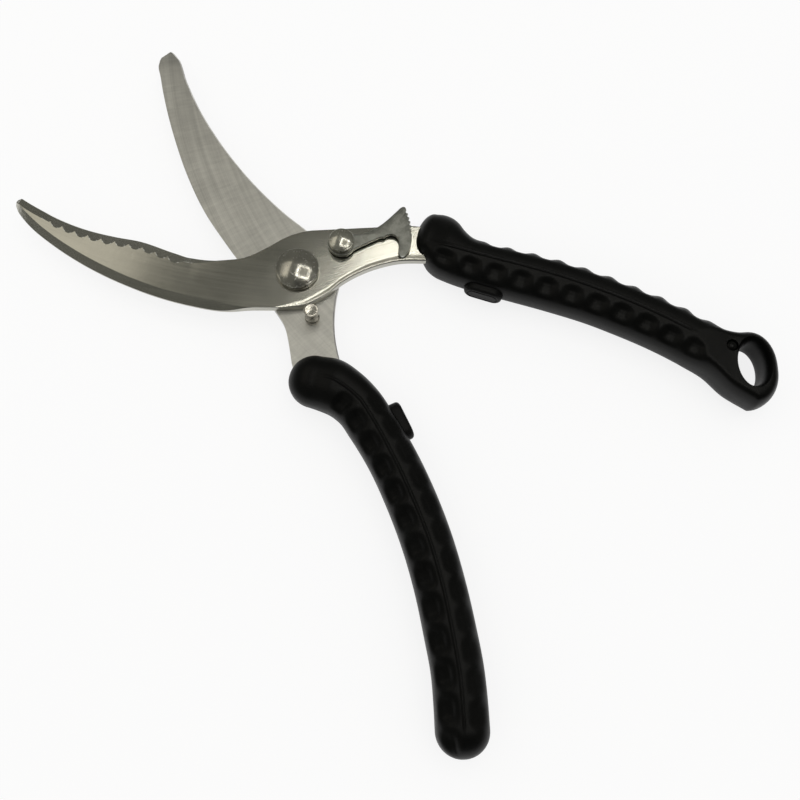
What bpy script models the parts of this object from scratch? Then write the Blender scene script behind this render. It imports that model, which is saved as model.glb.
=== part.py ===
"""Bait shears, ten inches long: two curved blades on one domed rivet, a hidden opening spring,
a swinging catch that hooks a pin, and two moulded grips with soft stops.

Run with: blender --background --python part.py
Driving dimensions are in millimetres and become metres when a mesh is made.
The model frame: the pivot axis is Z, the blade faces meet at the height MEETING_PLANE,
+X runs from the tip of the upper blade through the pivot to its grip, and +Z faces the viewer.
The shears are modelled open, as their spring holds them.
"""
from math import asin, atan2, ceil, cos, degrees, hypot, pi, radians, sin

import bmesh
import bpy
from mathutils import Matrix, Vector

MM = 0.001

# Fits
FIT_GAP = 0.3            # round a tang in its socket, a shank in its hole, a stop in its pocket
STACK_GAP = 0.15         # between flat faces that lie on each other
CUT_PAST = 1.0           # how far a cutter reaches past the piece that it opens

# Motion
CLOSE_ANGLE = 47.0       # lower arm, from open to the stops touching
LOCK_ANGLE = 90.5        # catch, from lying back to hooked on the pin

# Blades and arms
PLATE_THICKNESS = 2.8
EDGE_LAND = 0.4          # steel left at a cutting edge
BACK_LAND = 0.9          # steel left at a blade's back
ARM_LAND = 1.9           # steel left under the eased edge of an arm
BACK_LAND_LIMIT = 0.8    # most of the thickness that stays upright at the back
CUT_BEVEL = 3.1          # width of the ground bevel along a cutting edge
HEEL_BEVEL = 2.5         # the same behind the scallops
LOWER_BEVEL = 3.3
BEVEL_LIMIT = 0.95       # most of a blade's width that its two bevels take together
CUT_BEVEL_END_X = -20.0  # the cutting bevels have faded out here
BACK_BEVEL = 2.55
BACK_BEVEL_END_X = -17.0
ARM_EASE = 1.5
ARM_EASE_START_X = 3.0
UPPER_CHAMFER = 0.2      # along the back edge of the flat face
LOWER_CHAMFER = 0.45
SCALLOP_COUNT = 10
SCALLOP_PITCH = 4.56
SCALLOP_CUSP = 2.35      # bevel width at a cusp
SCALLOP_REACH = 1.6      # how far a scallop reaches past the bevel's cusps
SCALLOP_HOLLOW = 0.12    # how far the bevel is hollowed in a scallop
SCALLOP_ROUNDNESS = 1.0  # exponent of the scallop's outline: 1 is a sine wave, less is fuller
SCALLOP_STEPS = 6
SCALLOP_MARGIN = 0.05    # between the scallops' cross-sections and the next ones, in pairs
FIRST_SCALLOP_X = -80.7  # middle of the scallop nearest the tip
TIP_FACET_DROP = 0.5     # how far the lower blade's flat face is ground down at its tip
TIP_FACET_LENGTH = 5.5
TANG_WIDTH = 7.0
TANG_END_WIDTH = 5.0
TANG_START = 10.0        # along a grip's ridge, where the tang has its full narrowness
TANG_END_A = 102.5
TANG_END_B = 110.0
STATION_STEP = 3.2       # between the cross-sections of a plate
TANG_STEP = 13.0

# Pivot
SHANK_RADIUS = 3.2
PIVOT_HEAD_RADIUS = 6.95
PIVOT_HEAD_HEIGHT = 3.5
PIVOT_HEAD_RIM = 1.7
RIM_EASE = 0.2           # on the edges of turned heads
BACK_HEAD_RADIUS = 6.4
BACK_HEAD_HEIGHT = 1.9
BACK_FLAT_RADIUS = 4.6
BACK_CORNER = (0.75, 0.25)  # between the flat and the rim: share of the radius, share of the height
BACK_RIM_SHARE = 0.6     # of the height, where the straight rim begins
BACK_BORE_DEPTH = 1.1
PIVOT_WASHER_RADIUS = 6.0
PIVOT_WASHER_THICKNESS = 0.6

# Opening spring, in a round recess ground into both plates
SPRING_WIRE = 0.8
SPRING_RADIUS = 4.7
SPRING_FULL_TURNS = 1
SPRING_LEG = 4.5
SPRING_SIDE_GAP = 0.25   # between the coil and the floors of the recess
UPPER_LEG_ANGLE = 202.0
LOWER_LEG_ANGLE = 135.0
RECESS_DEPTH = 1.3
RECESS_RADIUS = 5.7
SPRING_CURL_POINTS = 20  # in each turn

# Catch and its rivet
CATCH_AXIS = (11.5, 12.2)
CATCH_REST_ANGLE = 32.0
CATCH_THICKNESS = 1.3
CATCH_EDGE_EASE = 0.15
CATCH_EYE_RADIUS = 4.45
CATCH_TAIL_ANGLE = -31.0 # where the tail ends; the catch's angles count from its own axis
CATCH_TAIL_RADIUS = 21.2 # at the outer side of the tail's end
CATCH_TIP_RADIUS = 23.9
CATCH_TIP_ANGLE = 15.5
CATCH_TIP_CORNER = ((0.0, -0.9), (-0.5, 0.6), (-1.3, 0.9))  # radius and angle, from the tip's
CATCH_NECK_IN = ((6.2, -26.0), (8.3, -16.0), (10.6, -10.5), (12.5, -7.2))  # radii and angles
CATCH_NECK_OUT = (
    (21.5, 15.5), (19.3, 14.0), (17.1, 12.2), (14.5, 10.0), (12.0, 8.4), (9.8, 7.8),
    (7.6, 8.2), (6.2, 11.0), (5.3, 17.0), (4.7, 25.0),
)
CATCH_NOTCH_TURNS = (140.0, 118.0, 96.0, 74.0, 52.0, 30.0, 8.0)  # round the pin's place
CATCH_TAIL_TURNS = (180.0, 220.0, 250.0, 290.0, 330.0, 360.0)
CATCH_EYE_START = 34.0   # of the arc round the rivet
CATCH_EYE_END = 314.0
CATCH_EYE_STEPS = 17
CATCH_SWEEP = 0.8        # exponent of the thumb edge's growth towards the tip
CATCH_WAVES = 8
CATCH_WAVE_DEPTH = 0.28
CATCH_WAVE_STEPS = 6
CATCH_WAVES_START = -23.0
CATCH_WAVES_END = 11.0
CATCH_WASHER_RADIUS = 3.6
CATCH_WASHER_THICKNESS = 0.5
CATCH_SHANK_RADIUS = 1.7
CATCH_SINK_RADIUS = 2.6  # of the shank's end, flattened into a countersink
CATCH_SINK_DEPTH = 0.8
CATCH_HEAD_RADIUS = 4.05
CATCH_HEAD_HEIGHT = 2.95
CATCH_HEAD_RIM = 1.9
HOOK_GAP = 0.45          # between the pin and the hook when the shears are closed and locked

# Lock pin, riveted into the lower arm
PIN_PLACE = (8.65, -13.7)
PIN_RADIUS = 2.2
PIN_FOOT_RADIUS = 2.35
PIN_FOOT_HEIGHT = 1.2
PIN_RISE = 4.3           # above the upper plate
PIN_SHANK_RADIUS = 1.5
PIN_EASE = 0.35
PIN_TAIL = 0.6           # flattened end behind the lower plate
PIN_TAIL_RADIUS = 2.2

# Grips
GRIP_HALF_DEPTH = 7.5    # of both grips, along Z
GRIP_SQUARENESS = 2.5    # exponent of the cross-section: 2 is an ellipse, more is squarer
RIDGE_HEIGHT = 0.45
RIDGE_HALF_ANGLE = 3.1   # of the ridge's foot, in the angles of the cross-section
DIMPLE_FILL = 0.88       # part of a pitch that the dimple takes, the rest is the web
GRIP_STEP = 2.0          # between the cross-sections
GRIP_CAP_ANGLES = (22.0, 42.0, 59.0, 73.0, 83.0)
FRONT_DEPTH = 0.88       # part of a grip's depth at the start of its front end
FRONT_LENGTH = 7.0
RING_HALF_DEPTH = 6.8
RING_SWELL = 9.9         # half depth of the ring before its flat faces are cut
RING_START_X = 127.0     # where the flat face of the ring begins to widen
RING_FULL_X = 141.0
HANG_HOLE_CENTRE = (146.9, 5.2)
HANG_HOLE_LENGTH = 15.2
HANG_HOLE_WIDTH = 9.4
HANG_HOLE_TILT = 104.5   # of its long axis
HANG_HOLE_EASE = 0.7
RING_WALL_OUTER = 3.7    # from the long hole's end to the outer side of the ring
RING_WALL_INNER = 6.0    # the same at the inner side
RING_WALL_END = 4.3      # round the far side of the hole
PLUG_SHIFT = 0.75        # of the plug along the hole's long axis, in half lengths of the hole
PLUG_WALL = 0.1          # from the hole's widest place to the plug, towards the grip
PLUG_RADIUS = 1.6
PLUG_HEIGHT = 1.4        # of its straight side
PLUG_DOME = 0.7
PLUG_DOME_STEPS = 4
PLUG_SINK = 0.5          # depth of the dome's rim below the ring's face

# Stops, let into the inner sides of the grips
STOP_CENTRE = (59.6, 7.6)
STOP_SLOPE = -3.0
STOP_LENGTH = 12.6
STOP_DEPTH = 6.8
STOP_STAND_A = 2.2       # from a stop's face to the side of its grip
STOP_STAND_B = 2.9       # the same at the lower grip
STOP_ROOT = 2.3          # held in the grip
STOP_EASE = 1.1
STOP_EASE_STEPS = 3
STOP_MEETING_GAP = 0.3

# Roundness of turned parts
FINE_STEPS = 40
COARSE_STEPS = 28
DOME_STEPS = 6

# Heights that follow from the sizes above, measured from the plane where the blades meet
UPPER_BOTTOM = STACK_GAP
UPPER_TOP = UPPER_BOTTOM + PLATE_THICKNESS
LOWER_TOP = -STACK_GAP
LOWER_BOTTOM = LOWER_TOP - PLATE_THICKNESS
WASHER_TOP = LOWER_BOTTOM - STACK_GAP
WASHER_BOTTOM = WASHER_TOP - PIVOT_WASHER_THICKNESS
BACK_HEAD_TOP = WASHER_BOTTOM - STACK_GAP
BACK_FACE = BACK_HEAD_TOP - BACK_HEAD_HEIGHT
CATCH_WASHER_BOTTOM = UPPER_TOP + STACK_GAP
CATCH_BOTTOM = CATCH_WASHER_BOTTOM + CATCH_WASHER_THICKNESS + STACK_GAP
CATCH_TOP = CATCH_BOTTOM + CATCH_THICKNESS
MEETING_PLANE = -BACK_FACE

# Upper blade, from tip to grip: each pair is a point of the cutting edge's side, then of the back's
UPPER_PAIRS = [
    ((-96.0, 1.6), (-96.0, -0.9)),
    ((-95.3, 2.4), (-95.0, -2.3)),
    ((-93.2, 1.8), (-92.6, -4.25)),
    ((-88.5, 0.45), (-88.6, -6.8)),
    ((-81.3, -1.35), (-80.6, -10.5)),
    ((-71.0, -2.7), (-70.6, -14.1)),
    ((-61.1, -2.7), (-60.8, -16.7)),
    ((-53.0, -2.2), (-51.5, -18.4)),
    ((-41.0, -3.3), (-40.8, -19.6)),
    ((-33.7, -3.8), (-31.0, -19.8)),
    ((-25.4, -2.7), (-18.2, -18.6)),
    ((-18.7, -0.5), (-10.6, -16.1)),
    ((-11.8, 5.3), (-4.9, -14.6)),
    ((-6.7, 10.6), (0.9, -12.9)),
    ((-0.8, 14.4), (5.3, -11.2)),
    ((4.7, 16.3), (8.9, -8.0)),
    ((9.6, 17.9), (11.6, -5.0)),
    ((15.1, 19.7), (14.6, -0.6)),
    ((20.7, 21.5), (19.6, 4.6)),
    ((26.7, 23.5), (25.6, 9.0)),
    ((33.0, 25.2), (31.0, 11.8)),
    ((38.5, 25.5), (37.8, 13.8)),
]

# Lower blade, from tip to grip: the cutting edge's side, then the back's
LOWER_PAIRS = [
    ((-69.6, 67.8), (-67.1, 71.3)),
    ((-69.7, 65.9), (-65.2, 70.3)),
    ((-66.7, 59.0), (-58.0, 60.8)),
    ((-61.6, 49.2), (-51.0, 52.1)),
    ((-54.2, 37.0), (-41.0, 42.0)),
    ((-46.3, 25.6), (-30.0, 32.8)),
    ((-36.4, 13.9), (-19.5, 25.5)),
    ((-25.9, 4.4), (-9.6, 19.8)),
    ((-18.4, -1.8), (-1.6, 16.0)),
    ((-12.6, -6.6), (5.6, 11.9)),
    ((-7.6, -10.7), (10.8, 7.0)),
    ((-3.3, -14.3), (13.4, 1.4)),
    ((0.5, -18.1), (14.0, -4.5)),
    ((3.0, -22.4), (15.1, -10.8)),
    ((5.3, -27.3), (17.1, -17.3)),
    ((7.1, -31.0), (20.0, -23.5)),
    ((11.0, -34.2), (23.0, -28.4)),
]

# How far behind a plate's last pairs its socket starts, in pairs, to open the front of the grip
SOCKET_LEAD_A = 2
SOCKET_LEAD_B = 3

# Grips, front to back: a point of the outer side, one of the inner side, and where the ridge
# lies between them, 0 at the inner side and 1 at the outer side
GRIP_A_PAIRS = [
    ((37.1, 31.0), (36.7, 17.8), 0.27),
    ((41.2, 32.2), (39.8, 13.3), 0.31),
    ((44.0, 31.7), (42.9, 11.5), 0.37),
    ((46.6, 30.3), (46.3, 10.7), 0.42),
    ((48.9, 28.1), (49.5, 10.2), 0.485),
    ((52.4, 25.9), (52.5, 9.9), 0.56),
    ((58.0, 25.6), (57.7, 9.5), 0.57),
    ((69.6, 25.7), (69.1, 9.2), 0.56),
    ((82.6, 25.5), (81.4, 8.8), 0.545),
    ((98.2, 24.1), (95.8, 7.8), 0.515),
    ((107.0, 22.7), (104.0, 6.6), 0.52),
    ((116.0, 21.2), (112.2, 5.2), 0.5),
    ((124.6, 19.2), (119.9, 3.5), 0.49),
    ((132.5, 16.7), (127.5, 1.4), 0.5),
    ((137.2, 14.8), (134.6, -0.6), 0.5),
    ((140.6, 15.0), (142.2, -5.1), 0.5),
]
GRIP_B_PAIRS = [
    ((15.4, -42.3), (15.0, -25.9), 0.48),
    ((19.1, -42.6), (21.1, -25.5), 0.47),
    ((22.3, -43.1), (28.8, -28.2), 0.47),
    ((26.0, -44.7), (35.4, -32.3), 0.455),
    ((30.3, -48.4), (40.9, -37.2), 0.465),
    ((38.7, -56.7), (49.9, -46.3), 0.5),
    ((46.8, -66.7), (59.2, -57.5), 0.5),
    ((54.6, -77.9), (67.8, -69.9), 0.48),
    ((61.8, -90.4), (75.4, -83.2), 0.48),
    ((67.0, -101.1), (81.0, -94.5), 0.49),
    ((71.2, -110.2), (85.4, -104.2), 0.5),
    ((74.3, -119.3), (88.9, -114.0), 0.5),
    ((76.1, -125.3), (91.0, -120.8), 0.5),
]
RING_RIDGE_SHARE = 0.5        # where the ridge line lies in the pair that the hang hole gives
GRIP_A_FRONT_CAP = 3.0        # how far a rounded end reaches
GRIP_B_CAPS = (8.2, 7.6)
GRIP_PARTS = 24               # into which a pair is divided to measure the ridge
RIDGE_END_A = 93.0            # along the ridge, where it has faded out
RIDGE_END_B = 119.0
RIDGE_FADE = 5.0

# Rows of dimples along the ridge: place of the first web, pitch, growth of the pitch
OUTER_DIMPLES_A = (19.7, 8.33, 0.0)
INNER_DIMPLES_A = (4.5, 8.56, 0.0)
OUTER_DIMPLES_B = (9.6, 8.1, 0.07)
INNER_DIMPLES_B = (16.4, 8.5, 0.0)
OUTER_COUNT_A = 9
INNER_COUNT_A = 11
OUTER_COUNT_B = 13
INNER_COUNT_B = 12
OUTER_DEPTH_A = 0.8
INNER_DEPTH_A = 1.1
OUTER_DEPTH_B = 1.1
INNER_DEPTH_B = 0.4

# Angles of a grip's cross-section from its side to its ridge, and the dimples' part of the depth
SECTION_ANGLES = (0.0, 12.0, 28.0, 45.0, 62.0, 77.0, 90.0 - RIDGE_HALF_ANGLE)
RIDGE_DENTS = (0.0, 0.0, 0.12, 0.8, 1.0, 0.75, 0.0)  # of dimples that lie next to the ridge
SIDE_DENTS = (1.0, 1.0, 0.85, 0.45, 0.05, 0.0, 0.0)  # of those round the side


def mix(start, end, share):
    """Value between start and end."""
    return start + (end - start) * share


def smooth(value):
    """Soft step from 0 to 1."""
    value = min(max(value, 0.0), 1.0)
    return value * value * (3.0 - 2.0 * value)


def polar(radius, angle):
    """Point in the plane from a radius and an angle in degrees."""
    return Vector((radius * cos(radians(angle)), radius * sin(radians(angle))))


def turned(point, angle):
    """Point of the plane turned about the pivot by an angle in degrees."""
    return Matrix.Rotation(radians(angle), 2) @ Vector(point)


def curve_at(points, place):
    """Point of the smooth curve through points, the place counted in points."""
    last = len(points) - 1
    start = min(int(place), last - 1)
    share = place - start
    here = Vector(points[start])
    there = Vector(points[start + 1])
    before = Vector(points[start - 1]) if start > 0 else here * 2.0 - there
    after = Vector(points[start + 2]) if start + 2 <= last else there * 2.0 - here
    first = (here - before).length
    middle = (there - here).length
    final = (after - there).length
    leave = ((here - before) / first * middle + (there - here) / middle * first) / (first + middle)
    reach = ((there - here) / middle * final + (after - there) / final * middle) / (middle + final)
    square = share * share
    cube = square * share
    return (
        here * (1.0 - 3.0 * square + 2.0 * cube)
        + there * (3.0 * square - 2.0 * cube)
        + leave * middle * (share - 2.0 * square + cube)
        + reach * middle * (cube - square)
    )


def clear_scene():
    """Start from an empty scene."""
    for item in list(bpy.data.objects):
        bpy.data.objects.remove(item, do_unlink=True)


def new_collection(name):
    """Collection in the scene."""
    collection = bpy.data.collections.new(name)
    bpy.context.scene.collection.children.link(collection)
    return collection


def new_empty(name, place, parent, collection):
    """Empty that pieces hang from, placed in millimetres."""
    empty = bpy.data.objects.new(name, None)
    empty.empty_display_size = 0.01
    empty.location = Vector(place) * MM
    empty.parent = parent
    collection.objects.link(empty)
    return empty


def new_material(name, colour, metallic, roughness):
    """Plain material for one piece."""
    material = bpy.data.materials.new(name)
    material.use_nodes = True
    shader = material.node_tree.nodes["Principled BSDF"]
    shader.inputs["Base Color"].default_value = (*colour, 1.0)
    shader.inputs["Metallic"].default_value = metallic
    shader.inputs["Roughness"].default_value = roughness
    return material


def new_object(name, shape, parent, collection, material=None):
    """Object from a shape in millimetres, its origin on the parent's."""
    if shape.faces:
        bmesh.ops.recalc_face_normals(shape, faces=shape.faces)
    bmesh.ops.scale(shape, vec=(MM, MM, MM), verts=shape.verts)
    mesh = bpy.data.meshes.new(name)
    shape.to_mesh(mesh)
    shape.free()
    item = bpy.data.objects.new(name, mesh)
    item.parent = parent
    collection.objects.link(item)
    if material is None:
        item.display_type = "WIRE"
        item.hide_render = True
    else:
        mesh.materials.append(material)
        mesh.shade_smooth()
    return item


def cut(target, cutter):
    """Take the cutter's space out of the target."""
    modifier = target.modifiers.new(cutter.name, "BOOLEAN")
    modifier.operation = "DIFFERENCE"
    modifier.solver = "EXACT"
    modifier.object = cutter


def loft(rings):
    """Closed shape through rings with the same number of points."""
    shape = bmesh.new()
    rows = [[shape.verts.new(point) for point in ring] for ring in rings]
    for row, following in zip(rows[:-1], rows[1:]):
        for index in range(len(row)):
            after = (index + 1) % len(row)
            shape.faces.new((row[index], row[after], following[after], following[index]))
    shape.faces.new(rows[0])
    shape.faces.new(reversed(rows[-1]))
    return shape


def raised(points, height):
    """Plane points lifted to a height."""
    return [Vector((point[0], point[1], height)) for point in points]


def drum(radius, low, high, place=(0.0, 0.0), steps=FINE_STEPS):
    """Upright cylinder."""
    rim = [Vector(place) + polar(radius, 360.0 * step / steps) for step in range(steps)]
    return loft([raised(rim, low), raised(rim, high)])


def block(centre, angle, length, width, low, high):
    """Upright box, its length along an angle in degrees."""
    along = polar(length / 2.0, angle)
    across = polar(width / 2.0, angle + 90.0)
    middle = Vector(centre)
    rim = [middle - along - across, middle + along - across]
    rim += [middle + along + across, middle - along + across]
    return loft([raised(rim, low), raised(rim, high)])


def dome(radius, low, high, steps=DOME_STEPS):
    """Profile of a dome from the axis down to its rim."""
    rise = high - low
    ball = (radius * radius + rise * rise) / (2.0 * rise)
    spread = asin(min(radius / ball, 1.0))
    if rise > radius:
        spread = pi - spread
    turns = [spread * step / steps for step in range(steps + 1)]
    return [(ball * sin(turn), high - ball + ball * cos(turn)) for turn in turns]


def turned_piece(name, profile, place, steps, parent, collection, material):
    """Turned piece: a profile of radii and heights, from the top of the axis to its bottom."""
    shape = bmesh.new()
    points = [shape.verts.new((radius, 0.0, height)) for radius, height in profile]
    for point, following in zip(points[:-1], points[1:]):
        shape.edges.new((point, following))
    item = new_object(name, shape, parent, collection, material)
    item.location = Vector((place[0], place[1], 0.0)) * MM
    screw = item.modifiers.new("turn", "SCREW")
    screw.axis = "Z"
    screw.angle = 2.0 * pi
    screw.steps = steps
    screw.render_steps = steps
    screw.use_merge_vertices = True
    screw.merge_threshold = 0.000001
    screw.use_smooth_shade = True
    return item


def ring_profile(outer, inner, low, high, ease):
    """Closed profile of a flat ring with eased outer edges."""
    return [
        (inner, high),
        (outer - ease, high),
        (outer, high - ease),
        (outer, low + ease),
        (outer - ease, low),
        (inner, low),
        (inner, high),
    ]


class Grip:
    """Outline of a grip, with its ridge measured out as a length from the first pair."""

    def __init__(self, pairs, caps):
        self.outer = [pair[0] for pair in pairs]
        self.inner = [pair[1] for pair in pairs]
        self.shares = [pair[2] for pair in pairs]
        self.caps = caps
        self.last = len(pairs) - 1
        self.places = [0.0]
        self.lengths = [0.0]
        before = self.ridge(0.0)
        for step in range(1, self.last * GRIP_PARTS + 1):
            place = step / GRIP_PARTS
            here = self.ridge(place)
            self.places.append(place)
            self.lengths.append(self.lengths[-1] + (here - before).length)
            before = here
        self.length = self.lengths[-1]

    def share(self, place):
        """Place of the ridge between the inner and the outer side."""
        start = min(int(place), self.last - 1)
        return mix(self.shares[start], self.shares[start + 1], place - start)

    def ridge(self, place):
        """Point of the ridge."""
        return mix(curve_at(self.inner, place), curve_at(self.outer, place), self.share(place))

    def place(self, length):
        """Place that lies at a length along the ridge."""
        length = min(max(length, 0.0), self.length)
        for index in range(1, len(self.lengths)):
            if self.lengths[index] >= length:
                span = self.lengths[index] - self.lengths[index - 1]
                share = (length - self.lengths[index - 1]) / span
                return mix(self.places[index - 1], self.places[index], share)
        return float(self.last)

    def sides(self, place):
        """Outer and inner point of the outline."""
        return curve_at(self.outer, place), curve_at(self.inner, place)

    def station(self, length):
        """Outer point, inner point, ridge share and roundness of an end at a length."""
        if 0.0 <= length <= self.length:
            place = self.place(length)
            return (*self.sides(place), self.share(place), 1.0)
        front = length < 0.0
        place = 0.0 if front else float(self.last)
        outer, inner = self.sides(place)
        reach = self.caps[0] if front else self.caps[1]
        past = -length if front else length - self.length
        turn = asin(min(past / reach, 1.0))
        middle = (outer + inner) / 2.0
        half = (outer - inner) / 2.0
        ahead = Vector((half.y, -half.x)).normalized() * reach
        away = self.ridge(0.0) - self.ridge(0.1)
        if not front:
            away = self.ridge(self.last) - self.ridge(self.last - 0.1)
        if ahead.dot(away) < 0.0:
            ahead = -ahead
        centre = middle + ahead * sin(turn)
        return centre + half * cos(turn), centre - half * cos(turn), self.share(place), cos(turn)


def hang_hole_point(along, towards_grip):
    """Point measured from the hang hole's centre, along its long axis and towards the grip."""
    place = Vector(HANG_HOLE_CENTRE) + polar(along, HANG_HOLE_TILT)
    return place + polar(towards_grip, HANG_HOLE_TILT + 90.0)


def ring_pair():
    """Last pair of the upper grip, through the middle of the hang hole."""
    half = HANG_HOLE_LENGTH / 2.0
    outer = hang_hole_point(half + RING_WALL_OUTER, 0.0)
    inner = hang_hole_point(-half - RING_WALL_INNER, 0.0)
    return tuple(outer), tuple(inner), RING_RIDGE_SHARE


GRIP_A_CAPS = (GRIP_A_FRONT_CAP, HANG_HOLE_WIDTH / 2.0 + RING_WALL_END)
GRIP_A = Grip(GRIP_A_PAIRS + [ring_pair()], GRIP_A_CAPS)
GRIP_B = Grip(GRIP_B_PAIRS, GRIP_B_CAPS)


def row_webs(row, count):
    """Places of the webs between a row's dimples, along the ridge."""
    first, pitch, growth = row
    return [first + pitch * number + growth * number * number for number in range(count + 1)]


def dent(webs, length):
    """Part of the dimples' depth at a length along the ridge, from 0 on a web to 1."""
    for start, end in zip(webs[:-1], webs[1:]):
        if start <= length <= end:
            offset = abs(2.0 * (length - start) / (end - start) - 1.0) / DIMPLE_FILL
            return max(0.0, 1.0 - offset ** 3)
    return 0.0


def grip_section(grip, length, outer_row, inner_row, ridge_end, ring):
    """One cross-section of a grip, a ring of points.

    A row of dimples is given by its webs, its depth and its parts of the depth round the section.
    """
    outer, inner, share, roundness = grip.station(length)
    width = (outer - inner).length
    across = (outer - inner) / width
    middle = mix(inner, outer, share)
    swell = 0.0
    if ring:
        swell = smooth((middle.x - RING_START_X) / (RING_FULL_X - RING_START_X))
    front = mix(FRONT_DEPTH, 1.0, smooth(length / FRONT_LENGTH))
    depth = mix(GRIP_HALF_DEPTH, RING_SWELL, swell) * roundness * front
    limit = mix(GRIP_HALF_DEPTH, RING_HALF_DEPTH, swell)
    crest = RIDGE_HEIGHT * roundness * smooth((ridge_end - length) / RIDGE_FADE)
    power = 2.0 / GRIP_SQUARENESS
    points = []
    for quarter in range(4):
        webs, row_depth, row_dents = outer_row if quarter in (0, 3) else inner_row
        hollow = row_depth * roundness * dent(webs, length)
        forward = quarter in (0, 2)
        angles = SECTION_ANGLES if forward else tuple(reversed(SECTION_ANGLES))
        dents = row_dents if forward else tuple(reversed(row_dents))
        if not forward:
            points.append((90.0 + 90.0 * (quarter - 1), 0.0, 1.0))
        for angle, part in zip(angles, dents):
            whole = 90.0 * quarter + angle if forward else 90.0 * (quarter + 1) - angle
            if not forward and angle == 0.0:
                continue
            points.append((whole, hollow * part, 0.0))
    ring_points = []
    for angle, hollow, on_ridge in points:
        side_part = cos(radians(angle))
        top_part = sin(radians(angle))
        if abs(side_part) < 1e-9:
            side_part = 0.0
        half = width * (1.0 - share) if side_part > 0.0 else width * share
        offset = half * abs(side_part) ** power * (1.0 if side_part > 0.0 else -1.0)
        height = depth * abs(top_part) ** power * (1.0 if top_part > 0.0 else -1.0)
        if hollow > 0.0:
            keep = 1.0 - hollow / hypot(offset, height)
            offset = offset * keep
            height = height * keep
        height = min(max(height, -limit), limit)
        if on_ridge:
            height = height + (crest if height > 0.0 else -crest)
        point = middle + across * offset
        ring_points.append(Vector((point.x, point.y, height)))
    return ring_points


def grip_lengths(grip):
    """Lengths along a grip where its cross-sections lie, the rounded ends included."""
    front = [-grip.caps[0] * sin(radians(angle)) for angle in reversed(GRIP_CAP_ANGLES)]
    count = ceil(grip.length / GRIP_STEP)
    body = [grip.length * step / count for step in range(count + 1)]
    rear = [grip.length + grip.caps[1] * sin(radians(angle)) for angle in GRIP_CAP_ANGLES]
    return front + body + rear


def grip_shape(grip, outer_row, inner_row, ridge_end, ring):
    """Closed shape of a grip."""
    return loft([
        grip_section(grip, length, outer_row, inner_row, ridge_end, ring)
        for length in grip_lengths(grip)
    ])


def with_tang(pairs, grip, tang_end):
    """Pairs of a plate followed by those of its tang along the grip's ridge."""
    count = ceil((tang_end - TANG_START) / TANG_STEP)
    for step in range(count + 1):
        share = step / count
        place = grip.place(mix(TANG_START, tang_end, share))
        outer, inner = grip.sides(place)
        across = (outer - inner).normalized() * mix(TANG_WIDTH, TANG_END_WIDTH, share) / 2.0
        middle = grip.ridge(place)
        pairs = pairs + [(tuple(middle + across), tuple(middle - across))]
    return pairs


def place_at_x(points, wanted):
    """Place on a curve that runs towards +X where it passes an X."""
    low = 0.0
    high = float(len(points) - 1)
    for _ in range(40):
        middle = (low + high) / 2.0
        if curve_at(points, middle).x < wanted:
            low = middle
        else:
            high = middle
    return (low + high) / 2.0


def plate_places(pairs):
    """Places of a plate's cross-sections, close together where the plate is short."""
    places = []
    for index in range(len(pairs) - 1):
        here = (Vector(pairs[index][0]) + Vector(pairs[index][1])) / 2.0
        there = (Vector(pairs[index + 1][0]) + Vector(pairs[index + 1][1])) / 2.0
        count = max(1, ceil((there - here).length / STATION_STEP))
        places += [index + step / count for step in range(count)]
    return places + [float(len(pairs) - 1)]


def scallop_places(pairs):
    """Places of the upper blade's cross-sections, evenly spread over every scallop."""
    edge = [pair[0] for pair in pairs]
    start = FIRST_SCALLOP_X - SCALLOP_PITCH / 2.0
    steps = SCALLOP_COUNT * SCALLOP_STEPS
    fine = [
        place_at_x(edge, start + SCALLOP_PITCH * step / SCALLOP_STEPS) for step in range(steps + 1)
    ]
    coarse = [
        place for place in plate_places(pairs)
        if place < fine[0] - SCALLOP_MARGIN or place > fine[-1] + SCALLOP_MARGIN
    ]
    return sorted(coarse + fine)


def upper_bevel(x):
    """Width and hollow of the upper blade's cutting bevel."""
    start = FIRST_SCALLOP_X - SCALLOP_PITCH / 2.0
    end = start + SCALLOP_COUNT * SCALLOP_PITCH
    if x < start:
        return CUT_BEVEL, 0.0
    if x <= end:
        share = (x - start) / SCALLOP_PITCH % 1.0
        bulge = max(0.0, sin(pi * share)) ** SCALLOP_ROUNDNESS
        return SCALLOP_CUSP + SCALLOP_REACH * bulge, SCALLOP_HOLLOW * bulge
    return HEEL_BEVEL * smooth((CUT_BEVEL_END_X - x) / (CUT_BEVEL_END_X - end)), 0.0


def lower_bevel(x):
    """Width of the lower blade's cutting bevel."""
    return LOWER_BEVEL * smooth((CUT_BEVEL_END_X - x) / -CUT_BEVEL_END_X), 0.0


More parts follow.
